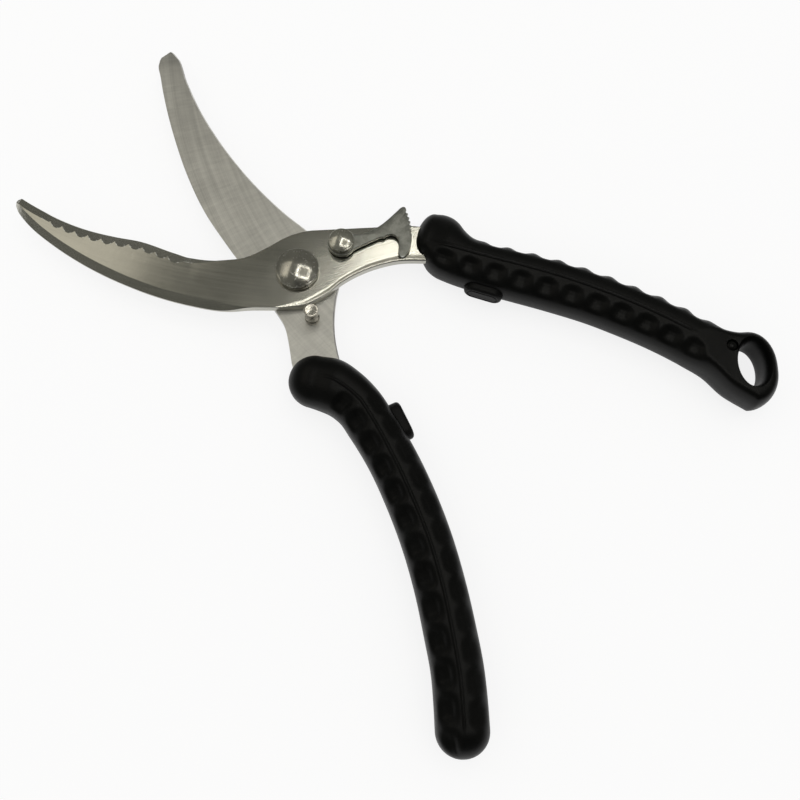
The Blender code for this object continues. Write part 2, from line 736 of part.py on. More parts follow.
def plate_shape(pairs, places, face, side, bevel, chamfer, back_ground, facet):
    """Closed shape of a blade with its arm and tang.

    The flat face lies at the height face and the ground face on the given side of it.
    """
    edges = [pair[0] for pair in pairs]
    backs = [pair[1] for pair in pairs]
    tip = (Vector(edges[0]) + Vector(backs[0])) / 2.0
    rings = []
    for place in places:
        edge = curve_at(edges, place)
        back = curve_at(backs, place)
        width = (back - edge).length
        across = (back - edge) / width
        cut_width, hollow = bevel(edge.x)
        along = smooth((back.x - BACK_BEVEL_END_X) / (ARM_EASE_START_X - BACK_BEVEL_END_X))
        back_width = mix(BACK_BEVEL, ARM_EASE, along) if back_ground else 0.0
        ground = max(cut_width + back_width, width * BEVEL_LIMIT)
        thin = width * BEVEL_LIMIT / ground
        cut_width = cut_width * thin
        back_width = back_width * thin
        back_land = mix(BACK_LAND, ARM_LAND, along) if back_ground else PLATE_THICKNESS
        gone = 0.0
        if facet:
            gone = TIP_FACET_DROP * (1.0 - ((edge + back) / 2.0 - tip).length / TIP_FACET_LENGTH)
            gone = max(0.0, gone)
        land = EDGE_LAND + gone
        top = mix(land, PLATE_THICKNESS, thin)
        section = [
            (edge, gone),
            (edge, land),
            (edge + across * cut_width / 2.0, (land + top) / 2.0 - hollow * thin),
            (edge + across * cut_width, top),
            (back - across * back_width, top),
            (back, min(back_land, mix(land, top, BACK_LAND_LIMIT))),
            (back, gone + chamfer),
            (back - across * chamfer, gone),
        ]
        rings.append([Vector((point.x, point.y, face + side * rise)) for point, rise in section])
    return loft(rings)


def socket_shape(pairs, first, face, side):
    """Space for a tang and the arm in front of it, grown by the fit."""
    edges = [pair[0] for pair in pairs]
    backs = [pair[1] for pair in pairs]
    low = face - side * FIT_GAP
    high = face + side * (PLATE_THICKNESS + FIT_GAP)
    rings = []
    for place in [place for place in plate_places(pairs) if place >= first]:
        edge = curve_at(edges, place)
        back = curve_at(backs, place)
        across = (back - edge).normalized() * FIT_GAP
        rings.append((edge - across, back + across))
    end = (rings[-1][1] - rings[-1][0]).normalized()
    ahead = Vector((end.y, -end.x)) * FIT_GAP
    if ahead.dot(rings[-1][0] - rings[-2][0]) < 0.0:
        ahead = -ahead
    rings[-1] = (rings[-1][0] + ahead, rings[-1][1] + ahead)
    return loft([
        [*raised((edge, back), low), *raised((back, edge), high)] for edge, back in rings
    ])


def stop_shape(centre, inward, height, grown):
    """Stop, its face centred on a point of the plane and its body running inward."""
    angle = degrees(atan2(inward.y, inward.x))
    middle = Vector(centre) + inward * (height + grown) / 2.0
    half = STOP_DEPTH / 2.0 + grown
    return block(middle, angle, height + grown, STOP_LENGTH + 2.0 * grown, -half, half)


def rounded(shape, ease, steps):
    """Shape with all its edges rounded."""
    bmesh.ops.bevel(
        shape,
        geom=shape.edges[:],
        offset=ease,
        segments=steps,
        profile=0.5,
        affect="EDGES",
        clamp_overlap=True,
    )
    return shape


def make_plates(parts, cutters, root, hinge):
    """Both blades with their arms and tangs."""
    upper_pairs = with_tang(UPPER_PAIRS, GRIP_A, TANG_END_A)
    lower_pairs = with_tang(LOWER_PAIRS, GRIP_B, TANG_END_B)
    upper_shape = plate_shape(
        upper_pairs, scallop_places(upper_pairs), UPPER_BOTTOM, 1.0, upper_bevel, UPPER_CHAMFER,
        True, False,
    )
    lower_shape = plate_shape(
        lower_pairs, plate_places(lower_pairs), LOWER_TOP, -1.0, lower_bevel, LOWER_CHAMFER,
        False, True,
    )
    steel = new_material("upper_blade_steel", (0.42, 0.42, 0.38), 1.0, 0.34)
    upper = new_object("upper_blade", upper_shape, root, parts, steel)
    steel = new_material("lower_blade_steel", (0.56, 0.56, 0.54), 1.0, 0.38)
    lower = new_object("lower_blade", lower_shape, hinge, parts, steel)

    bore = drum(SHANK_RADIUS + FIT_GAP, LOWER_BOTTOM - CUT_PAST, UPPER_TOP + CUT_PAST)
    bore = new_object("pivot_bore", bore, root, cutters)
    recess = drum(RECESS_RADIUS, LOWER_TOP - RECESS_DEPTH, UPPER_BOTTOM + RECESS_DEPTH)
    recess = new_object("spring_recess", recess, root, cutters)
    for blade in (upper, lower):
        cut(blade, bore)
        cut(blade, recess)

    reach = SPRING_RADIUS + SPRING_LEG + FIT_GAP
    width = SPRING_WIRE + 2.0 * FIT_GAP
    middle = (SPRING_RADIUS + reach) / 2.0
    slot = block(
        polar(middle, UPPER_LEG_ANGLE), UPPER_LEG_ANGLE, reach - SPRING_RADIUS, width,
        LOWER_TOP, UPPER_BOTTOM + RECESS_DEPTH,
    )
    cut(upper, new_object("upper_leg_slot", slot, root, cutters))
    slot = block(
        polar(middle, LOWER_LEG_ANGLE), LOWER_LEG_ANGLE, reach - SPRING_RADIUS, width,
        LOWER_TOP - RECESS_DEPTH, UPPER_BOTTOM,
    )
    cut(lower, new_object("lower_leg_slot", slot, root, cutters))

    rim = [polar(1.0, 360.0 * step / COARSE_STEPS) for step in range(COARSE_STEPS)]
    centre = Vector(CATCH_AXIS)
    hole_radius = CATCH_SHANK_RADIUS + FIT_GAP
    sink_radius = CATCH_SINK_RADIUS + FIT_GAP
    levels = [
        (sink_radius, UPPER_BOTTOM - CUT_PAST),
        (sink_radius, UPPER_BOTTOM),
        (hole_radius, UPPER_BOTTOM + CATCH_SINK_DEPTH + FIT_GAP),
        (hole_radius, UPPER_TOP + CUT_PAST),
    ]
    hole = loft([raised([centre + point * radius for point in rim], z) for radius, z in levels])
    cut(upper, new_object("catch_bore", hole, root, cutters))
    hole = drum(
        PIN_SHANK_RADIUS + FIT_GAP, LOWER_BOTTOM - CUT_PAST, LOWER_TOP + CUT_PAST, PIN_PLACE,
        COARSE_STEPS,
    )
    cut(lower, new_object("pin_bore", hole, hinge, cutters))
    return upper_pairs, lower_pairs


def make_pivot(parts, root):
    """Domed rivet, washer and back head of the pivot."""
    polished = new_material("pivot_steel", (0.5, 0.49, 0.46), 1.0, 0.26)
    base = UPPER_TOP + STACK_GAP
    rim = base + PIVOT_HEAD_RIM
    end = BACK_HEAD_TOP - BACK_BORE_DEPTH + STACK_GAP
    profile = dome(PIVOT_HEAD_RADIUS - RIM_EASE, rim + RIM_EASE, base + PIVOT_HEAD_HEIGHT)
    profile += [
        (PIVOT_HEAD_RADIUS, rim),
        (PIVOT_HEAD_RADIUS, base + RIM_EASE),
        (PIVOT_HEAD_RADIUS - RIM_EASE, base),
        (SHANK_RADIUS, base),
        (SHANK_RADIUS, end),
        (0.0, end),
    ]
    turned_piece("pivot_rivet", profile, (0, 0), FINE_STEPS, root, parts, polished)

    washer = new_material("pivot_washer_steel", (0.45, 0.45, 0.44), 1.0, 0.3)
    profile = ring_profile(
        PIVOT_WASHER_RADIUS, SHANK_RADIUS + FIT_GAP, WASHER_BOTTOM, WASHER_TOP, RIM_EASE / 2.0
    )
    turned_piece("pivot_washer", profile, (0, 0), FINE_STEPS, root, parts, washer)

    back = new_material("back_head_steel", (0.5, 0.49, 0.46), 1.0, 0.28)
    bore = SHANK_RADIUS + FIT_GAP
    floor = BACK_HEAD_TOP - BACK_BORE_DEPTH
    profile = [
        (0.0, floor),
        (bore, floor),
        (bore, BACK_HEAD_TOP),
        (BACK_HEAD_RADIUS - RIM_EASE, BACK_HEAD_TOP),
        (BACK_HEAD_RADIUS, BACK_HEAD_TOP - RIM_EASE),
        (BACK_HEAD_RADIUS, mix(BACK_FACE, BACK_HEAD_TOP, BACK_RIM_SHARE)),
        (
            mix(BACK_FLAT_RADIUS, BACK_HEAD_RADIUS, BACK_CORNER[0]),
            mix(BACK_FACE, BACK_HEAD_TOP, BACK_CORNER[1]),
        ),
        (BACK_FLAT_RADIUS, BACK_FACE),
        (0.0, BACK_FACE),
    ]
    turned_piece("pivot_back_head", profile, (0, 0), FINE_STEPS, root, parts, back)


def make_spring(parts, root):
    """Torsion spring round the pivot's shank, a leg in each plate."""
    sweep = 360.0 * SPRING_FULL_TURNS + UPPER_LEG_ANGLE - LOWER_LEG_ANGLE
    room = 2.0 * (RECESS_DEPTH + STACK_GAP)
    half = (room - SPRING_WIRE) / 2.0 - SPRING_SIDE_GAP
    steps = ceil(SPRING_CURL_POINTS * sweep / 360.0)
    path = [(*polar(SPRING_RADIUS + SPRING_LEG, LOWER_LEG_ANGLE), -half)]
    for step in range(steps + 1):
        share = step / steps
        path.append((
            *polar(SPRING_RADIUS, LOWER_LEG_ANGLE + sweep * share), mix(-half, half, share)
        ))
    path.append((*polar(SPRING_RADIUS + SPRING_LEG, UPPER_LEG_ANGLE), half))
    curve = bpy.data.curves.new("spring_path", "CURVE")
    curve.dimensions = "3D"
    curve.bevel_depth = SPRING_WIRE / 2.0
    curve.bevel_resolution = 1
    curve.use_fill_caps = True
    spline = curve.splines.new("POLY")
    spline.points.add(len(path) - 1)
    for point, place in zip(spline.points, path):
        point.co = (*place, 1.0)
    carrier = bpy.data.objects.new("spring_carrier", curve)
    parts.objects.link(carrier)
    mesh = bpy.data.meshes.new_from_object(carrier)
    shape = bmesh.new()
    shape.from_mesh(mesh)
    bmesh.ops.remove_doubles(shape, verts=shape.verts, dist=0.0001)
    bpy.data.objects.remove(carrier, do_unlink=True)
    wire = new_material("spring_wire", (0.35, 0.35, 0.36), 1.0, 0.35)
    new_object("opening_spring", shape, root, parts, wire)


def catch_outline():
    """Outline of the catch about its rivet, its own axis along +X."""
    pin = turned(PIN_PLACE, CLOSE_ANGLE) - Vector(CATCH_AXIS)
    pin_radius = pin.length
    pin_angle = degrees(atan2(pin.y, pin.x)) - (CATCH_REST_ANGLE - LOCK_ANGLE)
    notch = PIN_RADIUS + HOOK_GAP
    inner = pin_radius + notch
    centre = polar(pin_radius, pin_angle)
    points = [polar(radius, angle) for radius, angle in CATCH_NECK_IN]
    for turn in CATCH_NOTCH_TURNS:
        points.append(centre + polar(notch, pin_angle + turn))
    points += [polar(inner, mix(pin_angle, CATCH_TAIL_ANGLE, 0.5))]
    tail = (CATCH_TAIL_RADIUS - inner) / 2.0
    tail_centre = polar(inner + tail, CATCH_TAIL_ANGLE + degrees(tail / inner))
    for turn in CATCH_TAIL_TURNS:
        points.append(tail_centre + polar(tail, CATCH_TAIL_ANGLE + turn))
    steps = CATCH_WAVES * CATCH_WAVE_STEPS
    for step in range(steps + 1):
        share = step / steps
        angle = mix(CATCH_WAVES_START, CATCH_WAVES_END, share)
        out = (angle - CATCH_TAIL_ANGLE) / (CATCH_TIP_ANGLE - CATCH_TAIL_ANGLE)
        radius = mix(CATCH_TAIL_RADIUS, CATCH_TIP_RADIUS, out ** CATCH_SWEEP)
        dip = 0.5 - 0.5 * cos(2.0 * pi * CATCH_WAVES * share)
        points.append(polar(radius - CATCH_WAVE_DEPTH * dip, angle))
    for radius, angle in CATCH_TIP_CORNER:
        points.append(polar(CATCH_TIP_RADIUS + radius, CATCH_TIP_ANGLE + angle))
    points += [polar(radius, angle) for radius, angle in CATCH_NECK_OUT]
    for step in range(CATCH_EYE_STEPS + 1):
        share = step / CATCH_EYE_STEPS
        points.append(polar(CATCH_EYE_RADIUS, mix(CATCH_EYE_START, CATCH_EYE_END, share)))
    return points


def inset(points, ease):
    """Outline drawn in by a small amount."""
    result = []
    for index, point in enumerate(points):
        before = points[index - 1]
        after = points[(index + 1) % len(points)]
        along = (after - before).normalized()
        result.append(point + Vector((-along.y, along.x)) * ease)
    return result


def make_catch(parts, cutters, root, hinge):
    """Catch with its washer and rivet."""
    steel = new_material("catch_steel", (0.43, 0.43, 0.42), 1.0, 0.42)
    outline = catch_outline()
    small = inset(outline, CATCH_EDGE_EASE)
    levels = [
        (small, CATCH_BOTTOM),
        (outline, CATCH_BOTTOM + CATCH_EDGE_EASE),
        (outline, CATCH_TOP - CATCH_EDGE_EASE),
        (small, CATCH_TOP),
    ]
    turn = Matrix.Rotation(radians(CATCH_REST_ANGLE), 2)
    shape = loft([raised([turn @ point for point in points], z) for points, z in levels])
    catch = new_object("catch_lever", shape, hinge, parts, steel)
    hole = drum(
        CATCH_SHANK_RADIUS + FIT_GAP, CATCH_BOTTOM - CUT_PAST, CATCH_TOP + CUT_PAST, (0.0, 0.0),
        COARSE_STEPS,
    )
    cut(catch, new_object("catch_eye", hole, hinge, cutters))

    washer = new_material("catch_washer_steel", (0.5, 0.5, 0.48), 1.0, 0.3)
    low = CATCH_WASHER_BOTTOM
    profile = ring_profile(
        CATCH_WASHER_RADIUS, CATCH_SHANK_RADIUS + FIT_GAP, low, low + CATCH_WASHER_THICKNESS,
        RIM_EASE / 2.0,
    )
    turned_piece("catch_washer", profile, CATCH_AXIS, COARSE_STEPS, root, parts, washer)

    polished = new_material("catch_rivet_steel", (0.5, 0.49, 0.47), 1.0, 0.24)
    base = CATCH_TOP + STACK_GAP
    rim = base + CATCH_HEAD_RIM
    end = UPPER_BOTTOM + STACK_GAP
    profile = dome(CATCH_HEAD_RADIUS - RIM_EASE, rim + RIM_EASE, base + CATCH_HEAD_HEIGHT)
    profile += [
        (CATCH_HEAD_RADIUS, rim),
        (CATCH_HEAD_RADIUS, base + RIM_EASE),
        (CATCH_HEAD_RADIUS - RIM_EASE, base),
        (CATCH_SHANK_RADIUS, base),
        (CATCH_SHANK_RADIUS, end + CATCH_SINK_DEPTH),
        (CATCH_SINK_RADIUS, end),
        (0.0, end),
    ]
    turned_piece("catch_rivet", profile, CATCH_AXIS, COARSE_STEPS, root, parts, polished)


def make_pin(parts, hinge):
    """Lock pin of the lower arm."""
    bright = new_material("pin_nickel", (0.62, 0.6, 0.56), 1.0, 0.2)
    top = UPPER_TOP + PIN_RISE
    seat = LOWER_TOP + STACK_GAP
    foot = seat + PIN_FOOT_HEIGHT
    tail = LOWER_BOTTOM - STACK_GAP
    profile = [
        (0.0, top),
        (PIN_RADIUS - PIN_EASE, top),
        (PIN_RADIUS, top - PIN_EASE),
        (PIN_RADIUS, foot + PIN_FOOT_RADIUS - PIN_RADIUS),
        (PIN_FOOT_RADIUS, foot),
        (PIN_FOOT_RADIUS, seat),
        (PIN_SHANK_RADIUS, seat),
        (PIN_SHANK_RADIUS, tail),
        (PIN_TAIL_RADIUS, tail),
        (PIN_TAIL_RADIUS - RIM_EASE, tail - PIN_TAIL),
        (0.0, tail - PIN_TAIL),
    ]
    turned_piece("lock_pin", profile, PIN_PLACE, COARSE_STEPS, hinge, parts, bright)


def make_grips(parts, cutters, root, hinge, upper_pairs, lower_pairs):
    """Both grips with their sockets, the hang hole and the plug."""
    plastic = new_material("grip_a_plastic", (0.012, 0.013, 0.012), 0.0, 0.42)
    outer_row = (row_webs(OUTER_DIMPLES_A, OUTER_COUNT_A), OUTER_DEPTH_A, SIDE_DENTS)
    inner_row = (row_webs(INNER_DIMPLES_A, INNER_COUNT_A), INNER_DEPTH_A, RIDGE_DENTS)
    shape = grip_shape(GRIP_A, outer_row, inner_row, RIDGE_END_A, True)
    grip_a = new_object("grip_a", shape, root, parts, plastic)
    first = float(len(UPPER_PAIRS) - 1 - SOCKET_LEAD_A)
    socket = socket_shape(upper_pairs, first, UPPER_BOTTOM, 1.0)
    cut(grip_a, new_object("tang_socket_a", socket, root, cutters))

    plastic = new_material("grip_b_plastic", (0.012, 0.013, 0.012), 0.0, 0.42)
    outer_row = (row_webs(OUTER_DIMPLES_B, OUTER_COUNT_B), OUTER_DEPTH_B, RIDGE_DENTS)
    inner_row = (row_webs(INNER_DIMPLES_B, INNER_COUNT_B), INNER_DEPTH_B, RIDGE_DENTS)
    shape = grip_shape(GRIP_B, outer_row, inner_row, RIDGE_END_B, False)
    grip_b = new_object("grip_b", shape, hinge, parts, plastic)
    first = float(len(LOWER_PAIRS) - 1 - SOCKET_LEAD_B)
    socket = socket_shape(lower_pairs, first, LOWER_TOP, -1.0)
    cut(grip_b, new_object("tang_socket_b", socket, hinge, cutters))

    turn = Matrix.Rotation(radians(HANG_HOLE_TILT), 2)
    levels = [
        (HANG_HOLE_EASE, -RING_HALF_DEPTH - HANG_HOLE_EASE),
        (HANG_HOLE_EASE, -RING_HALF_DEPTH),
        (0.0, -RING_HALF_DEPTH + HANG_HOLE_EASE),
        (0.0, RING_HALF_DEPTH - HANG_HOLE_EASE),
        (HANG_HOLE_EASE, RING_HALF_DEPTH),
        (HANG_HOLE_EASE, RING_HALF_DEPTH + HANG_HOLE_EASE),
    ]
    rings = []
    for grown, height in levels:
        rim = []
        for step in range(FINE_STEPS):
            spot = polar(1.0, 360.0 * step / FINE_STEPS)
            spot.x = spot.x * (HANG_HOLE_LENGTH / 2.0 + grown)
            spot.y = spot.y * (HANG_HOLE_WIDTH / 2.0 + grown)
            rim.append(Vector(HANG_HOLE_CENTRE) + turn @ spot)
        rings.append(raised(rim, height))
    cut(grip_a, new_object("hang_hole", loft(rings), root, cutters))

    place = hang_hole_point(
        PLUG_SHIFT * HANG_HOLE_LENGTH / 2.0, HANG_HOLE_WIDTH / 2.0 + PLUG_WALL + PLUG_RADIUS
    )
    rim = RING_HALF_DEPTH - PLUG_SINK
    floor = rim - PLUG_HEIGHT
    recess = drum(
        PLUG_RADIUS + FIT_GAP, floor - STACK_GAP, RING_HALF_DEPTH + CUT_PAST, place, COARSE_STEPS
    )
    cut(grip_a, new_object("plug_recess", recess, root, cutters))
    plastic = new_material("plug_plastic", (0.012, 0.013, 0.012), 0.0, 0.3)
    profile = dome(PLUG_RADIUS, rim, rim + PLUG_DOME, PLUG_DOME_STEPS)
    profile += [(PLUG_RADIUS, floor), (0.0, floor)]
    turned_piece("grip_plug", profile, place, COARSE_STEPS, root, parts, plastic)
    return grip_a, grip_b


def make_stops(parts, cutters, root, hinge, grip_a, grip_b):
    """Both stops, which meet when the shears are closed."""
    rubber = new_material("stop_a_rubber", (0.014, 0.014, 0.014), 0.0, 0.55)
    inward = polar(1.0, 90.0 + STOP_SLOPE)
    face = Vector(STOP_CENTRE)
    height = STOP_STAND_A + STOP_ROOT
    stop = rounded(stop_shape(face, inward, height, 0.0), STOP_EASE, STOP_EASE_STEPS)
    new_object("stop_a", stop, root, parts, rubber)
    cut(grip_a, new_object("stop_pocket_a", stop_shape(face, inward, height, FIT_GAP), root, cutters))

    rubber = new_material("stop_b_rubber", (0.014, 0.014, 0.014), 0.0, 0.55)
    face = turned(face - inward * STOP_MEETING_GAP, -CLOSE_ANGLE)
    inward = turned(-inward, -CLOSE_ANGLE)
    height = STOP_STAND_B + STOP_ROOT
    stop = rounded(stop_shape(face, inward, height, 0.0), STOP_EASE, STOP_EASE_STEPS)
    new_object("stop_b", stop, hinge, parts, rubber)
    cut(grip_b, new_object("stop_pocket_b", stop_shape(face, inward, height, FIT_GAP), hinge, cutters))


def main():
    """Build the whole part."""
    clear_scene()
    parts = new_collection("bait_shears")
    cutters = new_collection("cutters")
    root = new_empty("bait_shears_frame", (0.0, 0.0, MEETING_PLANE), None, parts)
    hinge = new_empty("shears_hinge", (0.0, 0.0, 0.0), root, parts)
    catch_hinge = new_empty("catch_hinge", (*CATCH_AXIS, 0.0), root, parts)
    upper_pairs, lower_pairs = make_plates(parts, cutters, root, hinge)
    make_pivot(parts, root)
    make_spring(parts, root)
    make_catch(parts, cutters, root, catch_hinge)
    make_pin(parts, hinge)
    grip_a, grip_b = make_grips(parts, cutters, root, hinge, upper_pairs, lower_pairs)
    make_stops(parts, cutters, root, hinge, grip_a, grip_b)


main()
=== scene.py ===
# %% [markdown]
# # Bait shears, dressed for the picture
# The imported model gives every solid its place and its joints. This file adds what the eye looks
# for: finer blades and grips, and steel, nickel and plastic that are worn as in use.
# We work in metres, in the model's own frame: the pivot is the Z axis and the blades lie flat.

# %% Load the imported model
from math import asin, atan2, ceil, cos, degrees, hypot, pi, radians, sin

import bmesh
import bpy
import numpy as np
from mathutils import Matrix, Quaternion, Vector


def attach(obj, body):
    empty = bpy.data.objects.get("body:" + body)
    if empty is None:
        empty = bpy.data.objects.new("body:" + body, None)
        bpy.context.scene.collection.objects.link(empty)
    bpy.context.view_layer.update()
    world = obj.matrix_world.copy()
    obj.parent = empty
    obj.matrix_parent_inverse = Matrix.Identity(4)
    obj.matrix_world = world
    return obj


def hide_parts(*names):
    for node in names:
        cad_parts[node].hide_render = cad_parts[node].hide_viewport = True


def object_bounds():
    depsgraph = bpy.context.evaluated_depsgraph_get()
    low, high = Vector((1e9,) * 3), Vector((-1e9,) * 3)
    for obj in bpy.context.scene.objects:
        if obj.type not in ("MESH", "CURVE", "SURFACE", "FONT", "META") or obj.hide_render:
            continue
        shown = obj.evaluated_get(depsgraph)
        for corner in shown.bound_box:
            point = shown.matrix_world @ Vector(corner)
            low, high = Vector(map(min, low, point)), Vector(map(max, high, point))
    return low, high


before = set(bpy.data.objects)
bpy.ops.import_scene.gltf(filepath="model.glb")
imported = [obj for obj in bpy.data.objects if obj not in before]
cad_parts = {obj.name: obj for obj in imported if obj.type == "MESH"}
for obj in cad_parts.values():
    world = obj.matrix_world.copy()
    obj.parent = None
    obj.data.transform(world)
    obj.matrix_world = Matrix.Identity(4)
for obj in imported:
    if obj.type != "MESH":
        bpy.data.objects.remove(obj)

MM = 0.001
scene = bpy.context.scene
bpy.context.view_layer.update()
print("pieces in the model:", len(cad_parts))

# %% [markdown]
# ## Camera
# The round rivet heads look like ellipses, and their shape tells where the photographer stood:
# a hand's length above the blades, a little to the right of the pivot and towards the grips.
# We could turn the camera by three angles, but a point to look at and a roll are easier to check.

# %% Place the camera
CAMERA_PLACE = Vector((57.09, -114.67, 277.21)) * MM
CAMERA_TARGET = Vector((42.70, -33.94, 8.70)) * MM
CAMERA_ROLL = 4.343
PICTURE_WIDTH = 800
FOCAL_PIXELS = 908

lens = bpy.data.cameras.new("camera")
lens.sensor_width = 36.0
lens.lens = FOCAL_PIXELS / PICTURE_WIDTH * lens.sensor_width
lens.clip_start = 0.01
lens.clip_end = 20.0
camera = bpy.data.objects.new("camera", lens)
scene.collection.objects.link(camera)
camera.location = CAMERA_PLACE
turn = (CAMERA_TARGET - CAMERA_PLACE).to_track_quat("-Z", "Y")
camera.rotation_mode = "QUATERNION"
camera.rotation_quaternion = turn @ Quaternion((0.0, 0.0, 1.0), radians(CAMERA_ROLL))
scene.camera = camera
scene.view_settings.view_transform = "Standard"
print("focal length in mm:", round(lens.lens, 2))

# %% [markdown]
# ## A small language for finishes
# Steel and plastic are written as sums and products of textures. Wiring each Math node by hand
# hides the idea, so one class wraps a socket and lets Python's own signs add the nodes.


# %% Sockets that can be added and multiplied
class Wire:
    """Output socket of a node that takes part in sums, products and powers."""

    def __init__(self, graph, socket):
        self.graph = graph
        self.socket = socket

    def math(self, operation, first, second):
        """Math node of an operation on two wires or numbers."""
        return self.graph.node("ShaderNodeMath", {"operation": operation}, {0: first, 1: second})

    def __add__(self, other):
        return self.math("ADD", self, other)

    def __sub__(self, other):
        return self.math("SUBTRACT", self, other)

    def __rsub__(self, other):
        return self.math("SUBTRACT", other, self)

    def __mul__(self, other):
        return self.math("MULTIPLY", self, other)

    def __pow__(self, other):
        return self.math("POWER", self, other)

    def __rpow__(self, other):
        return self.math("POWER", other, self)

    __radd__ = __add__
    __rmul__ = __mul__


print("sums, products and powers of sockets add their own nodes")

# %% [markdown]
# ## One method for every other node
# Textures, mixes and shaders differ only in their type, their settings and their sockets. We
# could write a function for each, but one method for all of them reads the same everywhere, and
# it works for the light round the object as well as for its materials.


# %% Trees of nodes
class Graph:
    """Node tree that is filled through one method."""

    def __init__(self, tree):
        self.tree = tree
        tree.nodes.clear()

    def put(self, socket, value):
        """Link a wire to a socket, or set its value."""
        if isinstance(value, Wire):
            self.tree.links.new(value.socket, socket)
        elif isinstance(value, tuple) and socket.type == "RGBA":
            socket.default_value = (*value, 1.0)
        else:
            socket.default_value = value

    def node(self, kind, settings=None, values=None, out=0):
        """Node of a kind: its settings come first, then the values or wires of its sockets."""
        node = self.tree.nodes.new(kind)
        for name, value in (settings or {}).items():
            setattr(node, name, value)
        for socket, value in (values or {}).items():
            self.put(node.inputs[socket], value)
        if isinstance(out, tuple):
            return [Wire(self, node.outputs[name]) for name in out]
        return Wire(self, node.outputs[out])

    def step(self, value, low, high):
        """Soft step from 0 at low to 1 at high."""
        return self.node(
            "ShaderNodeMapRange",
            {"interpolation_type": "SMOOTHSTEP"},
            {"Value": value, "From Min": low, "From Max": high},
        )

    def vector(self, x, y, z):
        """Vector from three parts."""
        return self.node("ShaderNodeCombineXYZ", None, {0: x, 1: y, 2: z})

    def parts_of(self, vector):
        """The three parts of a vector."""
        return self.node("ShaderNodeSeparateXYZ", None, {0: vector}, out=("X", "Y", "Z"))

    def mixed(self, first, second, share):
        """Shader between two shaders."""
        return self.node("ShaderNodeMixShader", None, {0: share, 1: first, 2: second})


print("any node is one call away")

# %% [markdown]
# ## Finishes
# A finish is a material round one Principled shader. What changes over the surface, such as
# scratches, comes from noise, and a Bump node turns a height into a normal. A photograph of steel
# would be quicker, but it would not follow the curve of a blade and could not be tuned.


# %% Materials round one shader
class Finish(Graph):
    """Material whose Principled shader is fed by noise."""

    def __init__(self, name, values):
        self.material = bpy.data.materials.new(name)
        self.material.use_nodes = True
        super().__init__(self.material.node_tree)
        self.shader = self.node("ShaderNodeBsdfPrincipled", None, values)
        self.output = self.tree.nodes.new("ShaderNodeOutputMaterial")
        self.put(self.output.inputs["Surface"], self.shader)

    def feed(self, values):
        """Give the shader's sockets their wires."""
        for socket, value in values.items():
            self.put(self.shader.socket.node.inputs[socket], value)

    def blend(self, first, second, share):
        """Colour between two colours."""
        return self.node(
            "ShaderNodeMix", {"data_type": "RGBA"}, {0: share, 6: first, 7: second}, out=2
        )

    def scaled(self, colour, factor):
        """Colour made lighter or darker by a factor."""
        return self.node(
            "ShaderNodeVectorMath", {"operation": "SCALE"}, {0: colour, "Scale": factor}
        )

    def noise(self, vector, scale, detail=2.0, roughness=0.5):
        """Noise from 0 to 1, its mean near a half."""
        return self.node(
            "ShaderNodeTexNoise",
            {"noise_dimensions": "3D"},
            {"Vector": vector, "Scale": scale, "Detail": detail, "Roughness": roughness},
        )

    def place(self):
        """Point of the surface in the model's frame, in metres."""
        return self.node("ShaderNodeTexCoord", out="Object")

    def upright(self):
        """How far the surface faces up or down: 1 on flat plates, less on ground bevels."""
        facing = self.parts_of(self.node("ShaderNodeNewGeometry", out="Normal"))[2]
        return self.node("ShaderNodeMath", {"operation": "ABSOLUTE"}, {0: facing})

    def bump(self, height, depth):
        """Normal of a surface that rises by height times depth, in metres."""
        return self.node("ShaderNodeBump", None, {"Height": height, "Distance": depth})


print("finishes can be written")

# %% [markdown]
# ## Lines that follow a curve
# A blade is ground lengthwise, so its scratches follow its curve. A texture stretched along X
# would cut straight across it. Instead we measure each point from the centre of the blade's
# arc: the angle runs along the blade and the radius across it, and a noise that is stretched
# along the angle gives scratches that bend with the steel.


# %% Noise round an arc
def arc_place(finish, centre, radius):
    """Lengths along and across an arc, and the height, of a point of the surface."""
    x, y, z = finish.parts_of(finish.place())
    across_x = x - centre[0] * MM
    across_y = y - centre[1] * MM
    away = (across_x * across_x + across_y * across_y) ** 0.5
    angle = across_y.math("ARCTAN2", across_y, across_x)
    return angle * (radius * MM), away, z


def stretched(finish, places, grains, detail=2.0, roughness=0.5):
    """Noise drawn out by its number of grains per metre in each direction."""
    spot = finish.vector(*(place * count for place, count in zip(places, grains)))
    return finish.noise(spot, 1.0, detail, roughness)


def shaded(colour, factor):
    """Written colour made lighter or darker by a factor."""
    return tuple(min(1.0, part * factor) for part in colour)


print("noise can follow an arc")

# %% [markdown]
# ## Steel of the blades
# Three noises share the work: hair-fine lines along the blade, broader streaks, and the short
# lines that a wheel leaves across a ground bevel. The arm leaves the arc, so the hair there runs
# along the arm's own slope. Scratches painted by hand would not follow a change of the blade.

# %% Blade steel
HAIR = (9.0, 2800.0, 900.0)
STREAK = (22.0, 800.0, 300.0)
CROSS = (1100.0, 130.0, 900.0)
CLOUD = 60.0
SPECKS = 420.0
FLAT_FROM = (0.93, 0.995)
GROUND_DEPTH = 0.05
ARM_SLOPE = 32.0
ARM_FROM = 12.0


